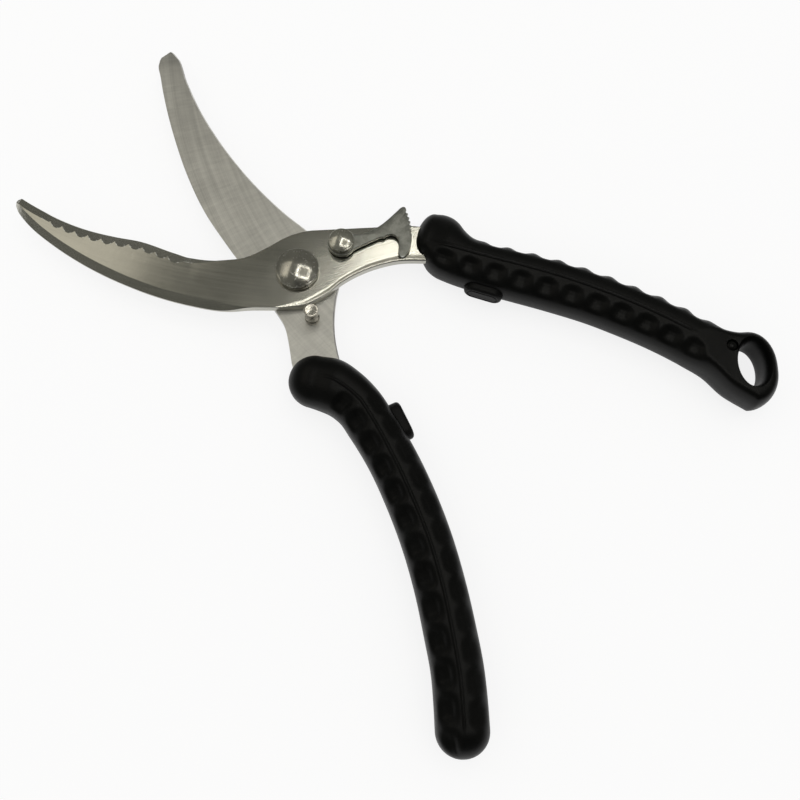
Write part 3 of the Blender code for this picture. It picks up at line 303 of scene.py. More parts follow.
def blade_steel(name, arc, colour, rough, depths, tones, ground_rough):
    """Steel whose fine scratches follow an arc and the arm, and run across the ground bevels."""
    finish = Finish(name, {"Metallic": 1.0})
    along, away, z = arc_place(finish, *arc)
    x, y = finish.parts_of(finish.place())[:2]
    arm_away = y * cos(radians(ARM_SLOPE)) - x * sin(radians(ARM_SLOPE))
    on_arm = finish.step(x, 0.0, ARM_FROM * MM)
    level = finish.step(finish.upright(), *FLAT_FROM)
    blade_hair = stretched(finish, (along, away, z), HAIR, 1.0)
    arm_hair = stretched(finish, (x, arm_away, z), HAIR, 1.0)
    hair = blade_hair * (1.0 - on_arm) + arm_hair * on_arm
    streak = stretched(finish, (along, away, z), STREAK)
    cross = stretched(finish, (along, away, z), CROSS, 3.0, 0.6)
    cloud = finish.noise(finish.place(), CLOUD, 3.0, 0.55)
    marks = finish.step(finish.noise(finish.place(), SPECKS, 4.0, 0.7), 0.6, 0.78)
    tone = 1.0 - sum(tones) / 2.0 + tones[0] * hair + tones[1] * streak + tones[2] * cross
    worn = finish.blend(shaded(colour, 0.88), colour, finish.step(cloud, 0.3, 0.7))
    finish.feed({
        "Base Color": finish.scaled(worn, tone * (1.0 - 0.12 * marks)),
        "Roughness": (
            rough + (ground_rough - rough) * (1.0 - level)
            + 0.06 * (hair - 0.5) + 0.06 * (cloud - 0.5) + 0.04 * marks
        ),
        "Normal": finish.bump(
            hair * level * depths[0]
            + cross * (level * depths[1] + (1.0 - level) * GROUND_DEPTH),
            MM,
        ),
    })
    return finish.material


print("hair lines per metre across a blade:", HAIR[1])

# %% [markdown]
# ## Two blades, two polishes
# The scalloped blade is polished and mirrors the tent. The plain one is matt, with crossing
# lines. One function makes both, because only its numbers differ: how rough the steel is, how
# deep hair and cross lines are in millimetres, and how much each noise changes the tone.

# %% Steels of the two blades
UPPER_ARC = ((-40.0, 190.0), 200.0)
LOWER_ARC = ((110.0, 135.0), 150.0)
upper_steel = blade_steel(
    "scalloped_blade_steel", UPPER_ARC, (0.6, 0.59, 0.53),
    rough=0.17, depths=(0.008, 0.0), tones=(0.2, 0.14, 0.04), ground_rough=0.24,
)
lower_steel = blade_steel(
    "plain_blade_steel", LOWER_ARC, (0.76, 0.75, 0.705),
    rough=0.46, depths=(0.05, 0.04), tones=(0.12, 0.4, 0.3), ground_rough=0.4,
)
print("blade steels:", upper_steel.name, lower_steel.name)

# %% [markdown]
# ## Turned heads and nickel
# The rivets were turned and tumbled: smooth, with faint rings and handling marks, and the pin is
# plated. The rings are a noise that changes fast away from the axis and slowly round it.

# %% Turned steel
PIN_PLACE = (8.65, -13.7)
CATCH_AXIS = (11.5, 12.2)
TURNED_RINGS = (2600.0, 1500.0, 40.0)
HANDLING_MARKS = 900.0
TARNISH = 180.0


def turned_steel(name, centre, colour, rough, marks):
    """Polished steel with rings round a centre and small handling marks."""
    finish = Finish(name, {"Metallic": 1.0})
    along, away, z = arc_place(finish, centre, 1.0)
    rings = stretched(finish, (away, z, along), TURNED_RINGS)
    spots = finish.noise(finish.place(), HANDLING_MARKS, 3.0, 0.6)
    cloud = finish.noise(finish.place(), TARNISH)
    finish.feed({
        "Base Color": finish.blend(shaded(colour, 0.8), colour, finish.step(cloud, 0.25, 0.65)),
        "Roughness": rough + marks * finish.step(spots, 0.45, 0.7) + 0.06 * (rings - 0.5),
        "Normal": finish.bump(spots + 0.4 * rings, 0.04 * marks * MM),
    })
    return finish.material


pivot_steel = turned_steel("pivot_head_steel", (0.0, 0.0), (0.6, 0.585, 0.525), 0.15, 0.14)
catch_rivet_steel = turned_steel("catch_head_steel", CATCH_AXIS, (0.72, 0.71, 0.63), 0.17, 0.12)
nickel = turned_steel("pin_nickel", PIN_PLACE, (0.68, 0.65, 0.58), 0.18, 0.14)
print("turned steels:", pivot_steel.name, catch_rivet_steel.name, nickel.name)

# %% [markdown]
# ## Stamped steel
# The catch, the washers and the spring have a dull, pitted skin, with edges and sides painted
# brighter:
# partly rubbed wear, partly a painted highlight. How far a surface faces up tells an edge from a
# face.

# %% Stamped steel
PITS = 2400.0
BLOTCHES = 420.0


def stamped_steel(name, colour, rough, pit_depth):
    """Dull steel skin with fine pits, and edges painted brighter: partly rubbed wear, partly a
    painted highlight.
    """
    finish = Finish(name, {"Metallic": 1.0})
    pits = finish.noise(finish.place(), PITS, 3.0, 0.65)
    cloud = finish.noise(finish.place(), BLOTCHES, 4.0, 0.65)
    # Surfaces that don't face up or down get a colour 1.9 times brighter: partly rubbed wear,
    # partly a painted highlight.
    level = finish.step(finish.upright(), 0.6, 0.98)
    skin = finish.blend(shaded(colour, 0.66), colour, finish.step(cloud, 0.3, 0.7))
    finish.feed({
        "Base Color": finish.blend(shaded(colour, 1.9), skin, level),
        "Roughness": rough + 0.2 * (pits - 0.5) - 0.12 * (1.0 - level),
        "Normal": finish.bump(pits, pit_depth * MM),
    })
    return finish.material


catch_steel = stamped_steel("catch_steel", (0.32, 0.325, 0.295), 0.36, 0.03)
plain_steel = stamped_steel("washer_steel", (0.45, 0.45, 0.43), 0.3, 0.01)
wire_steel = stamped_steel("spring_wire_steel", (0.33, 0.33, 0.33), 0.3, 0.01)
print("stamped steels:", catch_steel.name, plain_steel.name, wire_steel.name)

# %% [markdown]
# ## Black plastic and soft rubber
# The grips are black, yet not flat: the moulded skin has a fine grain, and the gloss changes at
# random over broad patches. So the colour hardly changes and the gloss does the work.

# %% Grip plastic
SKIN_GRAIN = 2600.0
HANDLED = 90.0
DUST = 1500.0


def grip_plastic(name, shade, rough, grain):
    """Moulded black plastic with a fine grain and a satin gloss."""
    finish = Finish(name, {"Metallic": 0.0, "Specular IOR Level": 0.2})
    skin = finish.noise(finish.place(), SKIN_GRAIN, 3.0, 0.6)
    broad = finish.noise(finish.place(), HANDLED, 3.0, 0.55)
    dust = finish.step(finish.noise(finish.place(), DUST), 0.62, 0.8)
    dusty = finish.step(broad, 0.35, 0.75) * 0.5 + dust * 0.5
    finish.feed({
        "Base Color": finish.blend(shade, shaded(shade, 2.2), dusty),
        "Roughness": rough + 0.14 * (broad - 0.5) + 0.12 * (skin - 0.5),
        "Normal": finish.bump(skin, grain * MM),
    })
    return finish.material


grip_black = grip_plastic("grip_plastic", (0.001, 0.0011, 0.0009), 0.36, 0.03)
plug_black = grip_plastic("plug_plastic", (0.0013, 0.0014, 0.0012), 0.24, 0.01)
stop_black = grip_plastic("stop_rubber", (0.0018, 0.0019, 0.0017), 0.48, 0.04)
print("plastics:", grip_black.name, plug_black.name, stop_black.name)

# %% [markdown]
# ## Curves
# The outlines are smooth curves through a few measured points, which keeps them editable. A
# Bezier curve object would need two handles for each point. This curve finds its own direction
# at every point, and it is the model's own, so the fine pieces lie exactly where the solids do.


# %% Curves through measured points
def mix(start, end, share):
    """Value between start and end."""
    return start + (end - start) * share


def smooth(value):
    """Soft step from 0 to 1."""
    value = min(max(value, 0.0), 1.0)
    return value * value * (3.0 - 2.0 * value)


def polar(radius, angle):
    """Point in the plane from a radius and an angle in degrees."""
    return Vector((radius * cos(radians(angle)), radius * sin(radians(angle))))


def curve_at(points, place):
    """Point of the smooth curve through points, the place counted in points."""
    last = len(points) - 1
    start = min(int(place), last - 1)
    share = place - start
    here = Vector(points[start])
    there = Vector(points[start + 1])
    before = Vector(points[start - 1]) if start > 0 else here * 2.0 - there
    after = Vector(points[start + 2]) if start + 2 <= last else there * 2.0 - here
    first = (here - before).length
    middle = (there - here).length
    final = (after - there).length
    leave = ((here - before) / first * middle + (there - here) / middle * first) / (first + middle)
    reach = ((there - here) / middle * final + (after - there) / final * middle) / (middle + final)
    square = share * share
    cube = square * share
    return (
        here * (1.0 - 3.0 * square + 2.0 * cube)
        + there * (3.0 * square - 2.0 * cube)
        + leave * middle * (share - 2.0 * square + cube)
        + reach * middle * (cube - square)
    )


print("halfway along an arch of three points:", curve_at(((0, 0), (2, 1), (4, 0)), 1.0))

# %% [markdown]
# ## Lofts
# Every long piece here is a loft: a row of cross-sections joined by faces and closed at both
# ends. A box shaped with a Subdivision Surface would be quicker to draw, but its skin would not
# lie on the measured points.


# %% Lofts
def raised(points, height):
    """Plane points lifted to a height."""
    return [Vector((point[0], point[1], height)) for point in points]


def loft(name, rings):
    """Closed piece through rings of points in millimetres."""
    shape = bmesh.new()
    rows = [[shape.verts.new(Vector(point) * MM) for point in ring] for ring in rings]
    for row, following in zip(rows[:-1], rows[1:]):
        for index in range(len(row)):
            after = (index + 1) % len(row)
            shape.faces.new((row[index], row[after], following[after], following[index]))
    shape.faces.new(rows[0])
    shape.faces.new(reversed(rows[-1]))
    bmesh.ops.recalc_face_normals(shape, faces=shape.faces)
    mesh = bpy.data.meshes.new(name)
    shape.to_mesh(mesh)
    shape.free()
    piece = bpy.data.objects.new(name, mesh)
    scene.collection.objects.link(piece)
    return piece


print("lofts are ready")

# %% [markdown]
# ## Holes and edges
# Real holes are drilled or moulded after or in the shape, and a Boolean does the same. Then the
# modifiers become a mesh that is shaded smooth, except where its faces meet at a real edge.


# %% Cutting and settling
def carve(piece, cutters):
    """Take the cutters' space out of a piece."""
    for cutter in cutters:
        modifier = piece.modifiers.new(cutter.name, "BOOLEAN")
        modifier.operation = "DIFFERENCE"
        modifier.solver = "EXACT"
        modifier.object = cutter


def settle(piece, material, crease, cutters=()):
    """Make the modifiers real, shade smooth, and keep edges sharper than crease degrees."""
    carve(piece, cutters)
    graph = bpy.context.evaluated_depsgraph_get()
    mesh = bpy.data.meshes.new_from_object(piece.evaluated_get(graph))
    piece.modifiers.clear()
    piece.data = mesh
    mesh.materials.clear()
    mesh.materials.append(material)
    mesh.shade_smooth()
    mesh.set_sharp_from_angle(angle=radians(crease))
    for cutter in cutters:
        bpy.data.objects.remove(cutter, do_unlink=True)
    print(piece.name, "has", len(mesh.polygons), "faces")


print("cutters leave nothing behind")

# %% [markdown]
# ## Pieces on bodies
# The joints move bodies, so each piece rides on one, and takes the place of the solid that it
# refines, which is hidden. One call does both, so they can't drift apart.


# %% Dress a body
def dress(piece, body, node):
    """Let a piece ride on a body and stand for a solid of the model."""
    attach(piece, body)
    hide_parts(node)


print("pieces can ride on bodies")

# %% [markdown]
# ## Heights
# The plates are stamped from 2.8 mm sheet and slide on each other in the plane of MEETING_PLANE.
# All heights below are counted from the back face of the pivot, as in the model.

# %% Heights of the stack
FIT_GAP = 0.3
STACK_GAP = 0.15
PLATE_THICKNESS = 2.8
MEETING_PLANE = 5.75
UPPER_BOTTOM = MEETING_PLANE + STACK_GAP
UPPER_TOP = UPPER_BOTTOM + PLATE_THICKNESS
LOWER_TOP = MEETING_PLANE - STACK_GAP
LOWER_BOTTOM = LOWER_TOP - PLATE_THICKNESS
print("upper plate from", UPPER_BOTTOM, "to", UPPER_TOP)

# %% [markdown]
# ## Outlines of the blades
# Each pair holds a point on either side of a blade, from the tip to the arm. Measured pairs are
# better than one outline here, because a cross-section needs both of its ends.

# %% Measured pairs of the blades
UPPER_PAIRS = [
    ((-96.0, 1.6), (-96.0, -0.9)),
    ((-95.3, 2.4), (-95.0, -2.3)),
    ((-93.2, 1.8), (-92.6, -4.25)),
    ((-88.5, 0.45), (-88.6, -6.8)),
    ((-81.3, -1.35), (-80.6, -10.5)),
    ((-71.0, -2.7), (-70.6, -14.1)),
    ((-61.1, -2.7), (-60.8, -16.7)),
    ((-53.0, -2.2), (-51.5, -18.4)),
    ((-41.0, -3.3), (-40.8, -19.6)),
    ((-33.7, -3.8), (-31.0, -19.8)),
    ((-25.4, -2.7), (-18.2, -18.6)),
    ((-18.7, -0.5), (-10.6, -16.1)),
    ((-11.8, 5.3), (-4.9, -14.6)),
    ((-6.7, 10.6), (0.9, -12.9)),
    ((-0.8, 14.4), (5.3, -11.2)),
    ((4.7, 16.3), (8.9, -8.0)),
    ((9.6, 17.9), (11.6, -5.0)),
    ((15.1, 19.7), (14.6, -0.6)),
    ((20.7, 21.5), (19.6, 4.6)),
    ((26.7, 23.5), (25.6, 9.0)),
    ((33.0, 25.2), (31.0, 11.8)),
    ((38.5, 25.5), (37.8, 13.8)),
]
LOWER_PAIRS = [
    ((-69.6, 67.8), (-67.1, 71.3)),
    ((-69.7, 65.9), (-65.2, 70.3)),
    ((-66.7, 59.0), (-58.0, 60.8)),
    ((-61.6, 49.2), (-51.0, 52.1)),
    ((-54.2, 37.0), (-41.0, 42.0)),
    ((-46.3, 25.6), (-30.0, 32.8)),
    ((-36.4, 13.9), (-19.5, 25.5)),
    ((-25.9, 4.4), (-9.6, 19.8)),
    ((-18.4, -1.8), (-1.6, 16.0)),
    ((-12.6, -6.6), (5.6, 11.9)),
    ((-7.6, -10.7), (10.8, 7.0)),
    ((-3.3, -14.3), (13.4, 1.4)),
    ((0.5, -18.1), (14.0, -4.5)),
    ((3.0, -22.4), (15.1, -10.8)),
    ((5.3, -27.3), (17.1, -17.3)),
    ((7.1, -31.0), (20.0, -23.5)),
    ((11.0, -34.2), (23.0, -28.4)),
]
print("pairs of the blades:", len(UPPER_PAIRS), len(LOWER_PAIRS))

# %% [markdown]
# ## Outlines of the grips
# A grip's pairs run from the blade's end to the far end. Each also says where the ridge lies
# between its two points, because the ridge wanders a little from the middle.

# %% Measured pairs of the grips
GRIP_A_PAIRS = [
    ((38.7, 31.8), (37.9, 15.6), 0.29),
    ((41.2, 32.2), (39.8, 13.3), 0.31),
    ((44.0, 31.7), (42.9, 11.5), 0.37),
    ((46.6, 30.3), (46.3, 10.7), 0.42),
    ((48.9, 28.1), (49.5, 10.2), 0.485),
    ((52.4, 25.9), (52.5, 9.9), 0.56),
    ((58.0, 25.6), (57.7, 9.5), 0.57),
    ((69.6, 25.7), (69.1, 9.2), 0.56),
    ((82.6, 25.5), (81.4, 8.8), 0.545),
    ((98.2, 24.1), (95.8, 7.8), 0.515),
    ((107.0, 22.7), (104.0, 6.6), 0.52),
    ((116.0, 21.2), (112.2, 5.2), 0.5),
    ((124.6, 19.2), (119.9, 3.5), 0.49),
    ((132.5, 16.7), (127.5, 1.4), 0.5),
    ((137.2, 14.8), (134.6, -0.6), 0.5),
    ((140.6, 15.0), (142.2, -5.1), 0.5),
    ((144.07, 16.14), (150.31, -7.97), 0.5),
]
GRIP_B_PAIRS = [
    ((15.4, -42.3), (15.0, -25.9), 0.48),
    ((19.1, -42.6), (21.1, -25.5), 0.47),
    ((22.3, -43.1), (28.8, -28.2), 0.47),
    ((26.0, -44.7), (35.4, -32.3), 0.455),
    ((30.3, -48.4), (40.9, -37.2), 0.465),
    ((38.7, -56.7), (49.9, -46.3), 0.5),
    ((46.8, -66.7), (59.2, -57.5), 0.5),
    ((54.6, -77.9), (67.8, -69.9), 0.48),
    ((61.8, -90.4), (75.4, -83.2), 0.48),
    ((67.0, -101.1), (81.0, -94.5), 0.49),
    ((71.2, -110.2), (85.4, -104.2), 0.5),
    ((74.3, -119.3), (88.9, -114.0), 0.5),
    ((76.1, -125.3), (91.0, -120.8), 0.5),
]
print("pairs of the grips:", len(GRIP_A_PAIRS), len(GRIP_B_PAIRS))

# %% [markdown]
# ## Walking along a grip
# Dimples are spaced by length, not by measured pairs. So we walk along the ridge and measure out
# its length, and at any length we can ask for the two sides. Past the last pair the sides close
# as a quarter circle does, which rounds the grip's end without another measured point.


# %% Outline of a grip
PAIR_STEPS = 24


class Grip:
    """Outline of a grip, with its ridge measured out as a length from the first pair."""

    def __init__(self, pairs, caps):
        count = (len(pairs) - 1) * PAIR_STEPS
        places = [(len(pairs) - 1) * step / count for step in range(count + 1)]
        outer = [pair[0] for pair in pairs]
        inner = [pair[1] for pair in pairs]
        self.outer = np.array([curve_at(outer, place) for place in places])
        self.inner = np.array([curve_at(inner, place) for place in places])
        self.share = np.interp(places, range(len(pairs)), [pair[2] for pair in pairs])
        ridge = self.inner + (self.outer - self.inner) * self.share[:, None]
        gaps = np.linalg.norm(np.diff(ridge, axis=0), axis=1)
        self.lengths = np.concatenate(([0.0], np.cumsum(gaps)))
        self.ridge = ridge
        self.length = float(self.lengths[-1])
        self.caps = caps

    def at(self, length, rows):
        """Point of a row of points at a length."""
        return Vector([float(np.interp(length, self.lengths, rows[:, axis])) for axis in (0, 1)])

    def station(self, length):
        """Outer point, inner point, ridge share and roundness of an end at a length."""
        inside = min(max(length, 0.0), self.length)
        outer = self.at(inside, self.outer)
        inner = self.at(inside, self.inner)
        share = float(np.interp(inside, self.lengths, self.share))
        if inside == length:
            return outer, inner, share, 1.0
        front = length < 0.0
        reach = self.caps[0] if front else self.caps[1]
        turn = asin(min(abs(length - inside) / reach, 1.0))
        middle = (outer + inner) / 2.0
        half = (outer - inner) / 2.0
        ahead = Vector((half.y, -half.x)).normalized() * reach
        ends = (self.ridge[0], self.ridge[3]) if front else (self.ridge[-1], self.ridge[-4])
        if ahead.dot(Vector(ends[0] - ends[1])) < 0.0:
            ahead = -ahead
        centre = middle + ahead * sin(turn)
        return centre + half * cos(turn), centre - half * cos(turn), share, cos(turn)


GRIP_A = Grip(GRIP_A_PAIRS, (4.5, 8.98))
GRIP_B = Grip(GRIP_B_PAIRS, (8.2, 7.6))
print("ridge lengths:", round(GRIP_A.length, 1), round(GRIP_B.length, 1))

# %% [markdown]
# ## Dimples
# A row of dimples runs on each side of the ridge, so that wet fingers don't slip. Sculpting forty
# of them would never come out even. One formula gives the depth from two numbers instead: how
# far along the grip, and which way the surface faces in the cross-section. Along the grip a
# dimple is a flat-bottomed bowl between two thin webs.


# %% Depth of the dimples
class DimpleRow:
    """Row of dimples: its webs along the ridge, its depth and flat part, and its window."""

    def __init__(self, first, pitch, growth, count, depth, flat, rise, fall):
        self.webs = [first + pitch * step + growth * step * step for step in range(count + 1)]
        self.depth = depth
        self.flat = flat
        self.rise = rise
        self.fall = fall

    def along(self, length):
        """Part of the depth at a length along the ridge, from 0 on a web to 1."""
        for start, end in zip(self.webs[:-1], self.webs[1:]):
            if start <= length <= end:
                offset = abs(2.0 * (length - start) / (end - start) - 1.0)
                return 1.0 - smooth((offset - self.flat) / (1.0 - self.flat))
        return 0.0

    def around(self, angle):
        """Part of the depth at an angle from the side, 0, to the ridge, 90."""
        entering = smooth((angle - self.rise[0]) / (self.rise[1] - self.rise[0]))
        leaving = smooth((angle - self.fall[0]) / (self.fall[1] - self.fall[0]))
        return entering * (1.0 - leaving)


OUTER_ROW_A = DimpleRow(18.0, 8.33, 0.0, 9, 0.85, 0.1, (-2.0, -1.0), (35.0, 62.0))
INNER_ROW_A = DimpleRow(2.8, 8.56, 0.0, 11, 1.15, 0.15, (30.0, 62.0), (68.0, 88.0))
OUTER_ROW_B = DimpleRow(9.6, 8.1, 0.07, 13, 1.2, 0.2, (26.0, 58.0), (66.0, 87.5))
INNER_ROW_B = DimpleRow(16.4, 8.5, 0.0, 12, 0.45, 0.3, (24.0, 56.0), (68.0, 87.0))
rows = (OUTER_ROW_A, INNER_ROW_A, OUTER_ROW_B, INNER_ROW_B)
print("dimples:", sum(len(row.webs) - 1 for row in rows), "on each face")

# %% [markdown]
# ## Directions round a section
# Every section of a grip has the same number of points, so that neighbours can be joined. They
# are spread evenly by angle, with a few more at the thin ridge, which would be missed otherwise.

# %% Angles of the section's points
SECTION_STEPS = 32
RIDGE_START = 84.8
RIDGE_ANGLES = [86.9, 87.5, 88.1, 88.7, 89.3]

quarter = [RIDGE_START * step / SECTION_STEPS for step in range(SECTION_STEPS + 1)] + RIDGE_ANGLES
half_turn = quarter + [90.0] + [180.0 - angle for angle in reversed(quarter[1:])]
TURN = half_turn + [angle + 180.0 for angle in half_turn]
print("points in a section:", len(TURN))

# %% [markdown]
# ## Cross-section of a grip
# A circle with its powers changed, a superellipse, gives the moulded, nearly square section. The
# ridge is a small bump on top of it, and the hanging ring grows from the same sections by
# letting them swell and cutting them flat. That keeps one smooth skin from knob to ring.

# %% Cross-section of a grip
GRIP_HALF_DEPTH = 7.5
GRIP_SQUARENESS = 2.5
FRONT_DEPTH = 0.88
FRONT_LENGTH = 7.0
RIDGE_HEIGHT = 0.35
RIDGE_FOOT = 2.3
RIDGE_FADE = 5.0
RIDGE_RISE = 9.0
RING_START_X = 127.0
RING_GROWTH = 14.0
RING_SWELL = 9.9
RING_FACE = 6.8
RING_EDGE = 1.6


def held_below(height, limit, edge):
    """Height cut off at a limit with a rounded edge."""
    near = max(0.0, 1.0 - abs(height - limit) / edge)
    return min(height, limit) - edge * near * near / 4.0


def grip_section(grip, length, outer_row, inner_row, ridge_end, ring):
    """One cross-section of a grip, a ring of points."""
    outer, inner, share, roundness = grip.station(length)
    width = (outer - inner).length
    across = (outer - inner) / width
    middle = mix(inner, outer, share)
    swell = smooth((middle.x - RING_START_X) / RING_GROWTH) if ring else 0.0
    front = mix(FRONT_DEPTH, 1.0, smooth(length / FRONT_LENGTH))
    depth = mix(GRIP_HALF_DEPTH, RING_SWELL, swell) * roundness * front
    crest = RIDGE_HEIGHT * roundness * smooth((ridge_end - length) / RIDGE_FADE)
    crest = crest * smooth(length / RIDGE_RISE)
    power = 2.0 / GRIP_SQUARENESS
    points = []
    for angle in TURN:
        side = cos(radians(angle))
        top = abs(sin(radians(angle)))
        steep = degrees(asin(min(top, 1.0)))
        row = outer_row if side > 0.0 else inner_row
        half = width * (1.0 - share) if side > 0.0 else width * share
        offset = half * abs(side) ** power * (1.0 if side > 0.0 else -1.0)
        height = depth * top ** power
        hollow = row.depth * row.along(length) * row.around(steep) * roundness ** 2
        keep = 1.0 - hollow / max(hypot(offset, height), 0.01)
        height = height * keep
        if swell > 0.0:
            limit = mix(GRIP_HALF_DEPTH, RING_FACE, swell)
            height = held_below(height, limit, RING_EDGE * swell)
        height += crest * smooth(1.0 - (90.0 - steep) / RIDGE_FOOT)
        spot = middle + across * offset * keep
        points.append((spot.x, spot.y, MEETING_PLANE + (height if angle <= 180.0 else -height)))
    return points


print("a grip is", 2.0 * GRIP_HALF_DEPTH, "mm deep, its ring", 2.0 * RING_FACE)

# %% [markdown]
# ## Grip bodies
# The loft puts a section every half millimetre, close enough for the thin webs to stay crisp.
# The rounded ends are sections that shrink as on a quarter circle. They stop a little before
# its end, because a section of no size can't be joined.

# %% Grip bodies
GRIP_STEP = 0.5
CAP_STEPS = 16
CAP_TURN = 88.0
RIDGE_END_A = 91.3
RIDGE_END_B = 119.0


def grip_body(name, grip, outer_row, inner_row, ridge_end, ring):
    """Whole grip with its rounded ends."""
    turns = [radians(CAP_TURN * (step + 1) / CAP_STEPS) for step in range(CAP_STEPS)]
    front = [-grip.caps[0] * sin(turn) for turn in reversed(turns)]
    count = ceil(grip.length / GRIP_STEP)
    body = [grip.length * step / count for step in range(count + 1)]
    rear = [grip.length + grip.caps[1] * sin(turn) for turn in turns]
    return loft(name, [
        grip_section(grip, length, outer_row, inner_row, ridge_end, ring)
        for length in front + body + rear
    ])


grip_a = grip_body("ringed_grip", GRIP_A, OUTER_ROW_A, INNER_ROW_A, RIDGE_END_A, True)
grip_b = grip_body("plain_grip", GRIP_B, OUTER_ROW_B, INNER_ROW_B, RIDGE_END_B, False)
print("grip faces before cutting:", len(grip_a.data.polygons), len(grip_b.data.polygons))

# %% [markdown]
# ## Tangs
# Behind the arm each plate runs on inside its grip as a narrow tang. Nobody sees it, but it
# shows through no gap when it follows the same ridge line as the grip, so it takes its pairs
# from the grip's outline.


# %% Pairs of the tangs
TANG_STEP = 13.0
TANG_HALF_WIDTH = (3.5, 2.5)
TANG_A = (8.3, 100.8)
TANG_B = (10.0, 110.0)


def with_tang(pairs, grip, tang_start, tang_end):
    """Pairs of a plate followed by those of its tang along the grip's ridge."""
    count = ceil((tang_end - tang_start) / TANG_STEP)
    for step in range(count + 1):
        length = mix(tang_start, tang_end, step / count)
        across = (grip.at(length, grip.outer) - grip.at(length, grip.inner)).normalized()
        across = across * mix(*TANG_HALF_WIDTH, step / count)
        middle = grip.at(length, grip.ridge)
        pairs = pairs + [(tuple(middle + across), tuple(middle - across))]
    return pairs


upper_pairs = with_tang(UPPER_PAIRS, GRIP_A, *TANG_A)
lower_pairs = with_tang(LOWER_PAIRS, GRIP_B, *TANG_B)
print("pairs with tangs:", len(upper_pairs), len(lower_pairs))

# %% [markdown]
# ## Bevels
# A blade is a flat plate whose edges are ground away. On the scalloped blade the cutting bevel
# swells and shrinks ten times, as if a round wheel had bitten into it. All bites lie in one
# ground plane, and only the width changes. Cutting ten hollows with Booleans would give the same
# look, but with a sine wave their number and pitch stay two values.

# %% Width and reach of the bevels
SCALLOP_COUNT = 10
SCALLOP_PITCH = 4.56
SCALLOP_START = -80.7 - SCALLOP_PITCH / 2.0
SCALLOP_END = SCALLOP_START + SCALLOP_COUNT * SCALLOP_PITCH
SCALLOP_CUSP = 2.35
SCALLOP_REACH = 1.6
SCALLOP_FULLNESS = 0.65
BLEND_LENGTH = 4.0
TIP_BEVEL = 3.1
HEEL_BEVEL = 2.5
LOWER_BEVEL = 3.3
BEVEL_END_X = -20.0


def upper_bevel(x):
    """Width of the scalloped cutting bevel, and the width that its plane has without bites."""
    full = SCALLOP_CUSP + SCALLOP_REACH
    if x < SCALLOP_START:
        return TIP_BEVEL, mix(full, TIP_BEVEL, smooth((SCALLOP_START - x) / BLEND_LENGTH))
    if x <= SCALLOP_END:
        bulge = max(0.0, sin(pi * ((x - SCALLOP_START) / SCALLOP_PITCH % 1.0)))
        return SCALLOP_CUSP + SCALLOP_REACH * bulge ** SCALLOP_FULLNESS, full
    width = HEEL_BEVEL * smooth((BEVEL_END_X - x) / (BEVEL_END_X - SCALLOP_END))
    return width, mix(full, width, smooth((x - SCALLOP_END) / BLEND_LENGTH))


def lower_bevel(x):
    """Width of the plain cutting bevel, on the hidden side, and the same again as its reach."""
    width = LOWER_BEVEL * smooth((BEVEL_END_X - x) / -BEVEL_END_X)
    return width, width


print("scallops from", round(SCALLOP_START, 2), "to", round(SCALLOP_END, 2))

# %% [markdown]
# ## Places of the sections
# We loft the blade's cross-section from the tip to the end of the tang. The sections lie close
# together along the scallops, where the shape changes fast, and further apart elsewhere.

# %% Places of the sections
STATION_STEP = 1.2
SCALLOP_STEP = 0.15
LOOK_AHEAD = 0.02


def places_along(pairs, fine_from, fine_to):
    """Places of the cross-sections, close together between two X values."""
    edge = [pair[0] for pair in pairs]
    places = [0.0]
    while places[-1] < len(pairs) - 1:
        place = places[-1]
        here = curve_at(edge, place)
        wanted = SCALLOP_STEP if fine_from < here.x < fine_to else STATION_STEP
        ahead = min(place + LOOK_AHEAD, len(pairs) - 1)
        speed = (curve_at(edge, ahead) - here).length / max(ahead - place, 0.001)
        places.append(place + max(wanted / max(speed, 0.5), 0.01))
    places[-1] = float(len(pairs) - 1)
    return places


upper_places = places_along(upper_pairs, SCALLOP_START - 1.0, SCALLOP_END + 1.0)
lower_places = places_along(lower_pairs, 0.0, 0.0)
print("blade stations:", len(upper_places), len(lower_places))

# %% [markdown]
# ## The two sides of a section
# The cutting side climbs the ground plane and ends in a bite's steep wall. The back is ground
# too, but along the arm that bevel turns into a soft rounding, as the stamping left it. Mixing a
# straight line with a quarter circle makes the change without a seam.

# %% Sides of a blade's section
GROUND_SLOPE = 0.45
BITE_WALL = 0.12
BEVEL_STEPS = 3
BACK_BEVEL = 2.55
BACK_SLOPE = 0.745
BACK_END_X = (-22.0, -10.0)
ARM_EASE = 2.3
ARM_DROP = 0.55
ARM_EASE_X = (-5.0, 8.0)
EASE_STEPS = 5


def cutting_side(edge, across, fine, width, reach, slope, land, top):
    """Points of the cutting bevel, from its fine edge to the wall of the bite."""
    points = []
    for step in range(BEVEL_STEPS + 1):
        away = mix(fine, width - BITE_WALL, step / BEVEL_STEPS)
        rise = top - (reach - away) * slope
        away = max(away, 0.01 + 0.01 * step)
        points.append((edge + across * away, min(max(rise, land), top)))
    return points


def back_bevel(x):
    """Width and drop of the back's bevel, and how far the arm's rounding has taken over."""
    arm = smooth((x - ARM_EASE_X[0]) / (ARM_EASE_X[1] - ARM_EASE_X[0]))
    ground = 1.0 - smooth((x - BACK_END_X[0]) / (BACK_END_X[1] - BACK_END_X[0]))
    width = BACK_BEVEL * ground + ARM_EASE * arm
    return width, BACK_BEVEL * BACK_SLOPE * ground + ARM_DROP * arm, arm


def back_side(outer, reach, arm, top, low):
    """Points of the back, straight on the blade and rounded on the arm."""
    points = []
    for step in range(EASE_STEPS + 1):
        share = step / EASE_STEPS
        round_out = mix(share, sin(share * pi / 2.0), arm)
        round_down = mix(share, 1.0 - cos(share * pi / 2.0), arm)
        points.append((outer + reach * round_out, mix(top, low, round_down)))
    return points


print("back bevel and arm rounding in mm:", BACK_BEVEL, ARM_EASE)

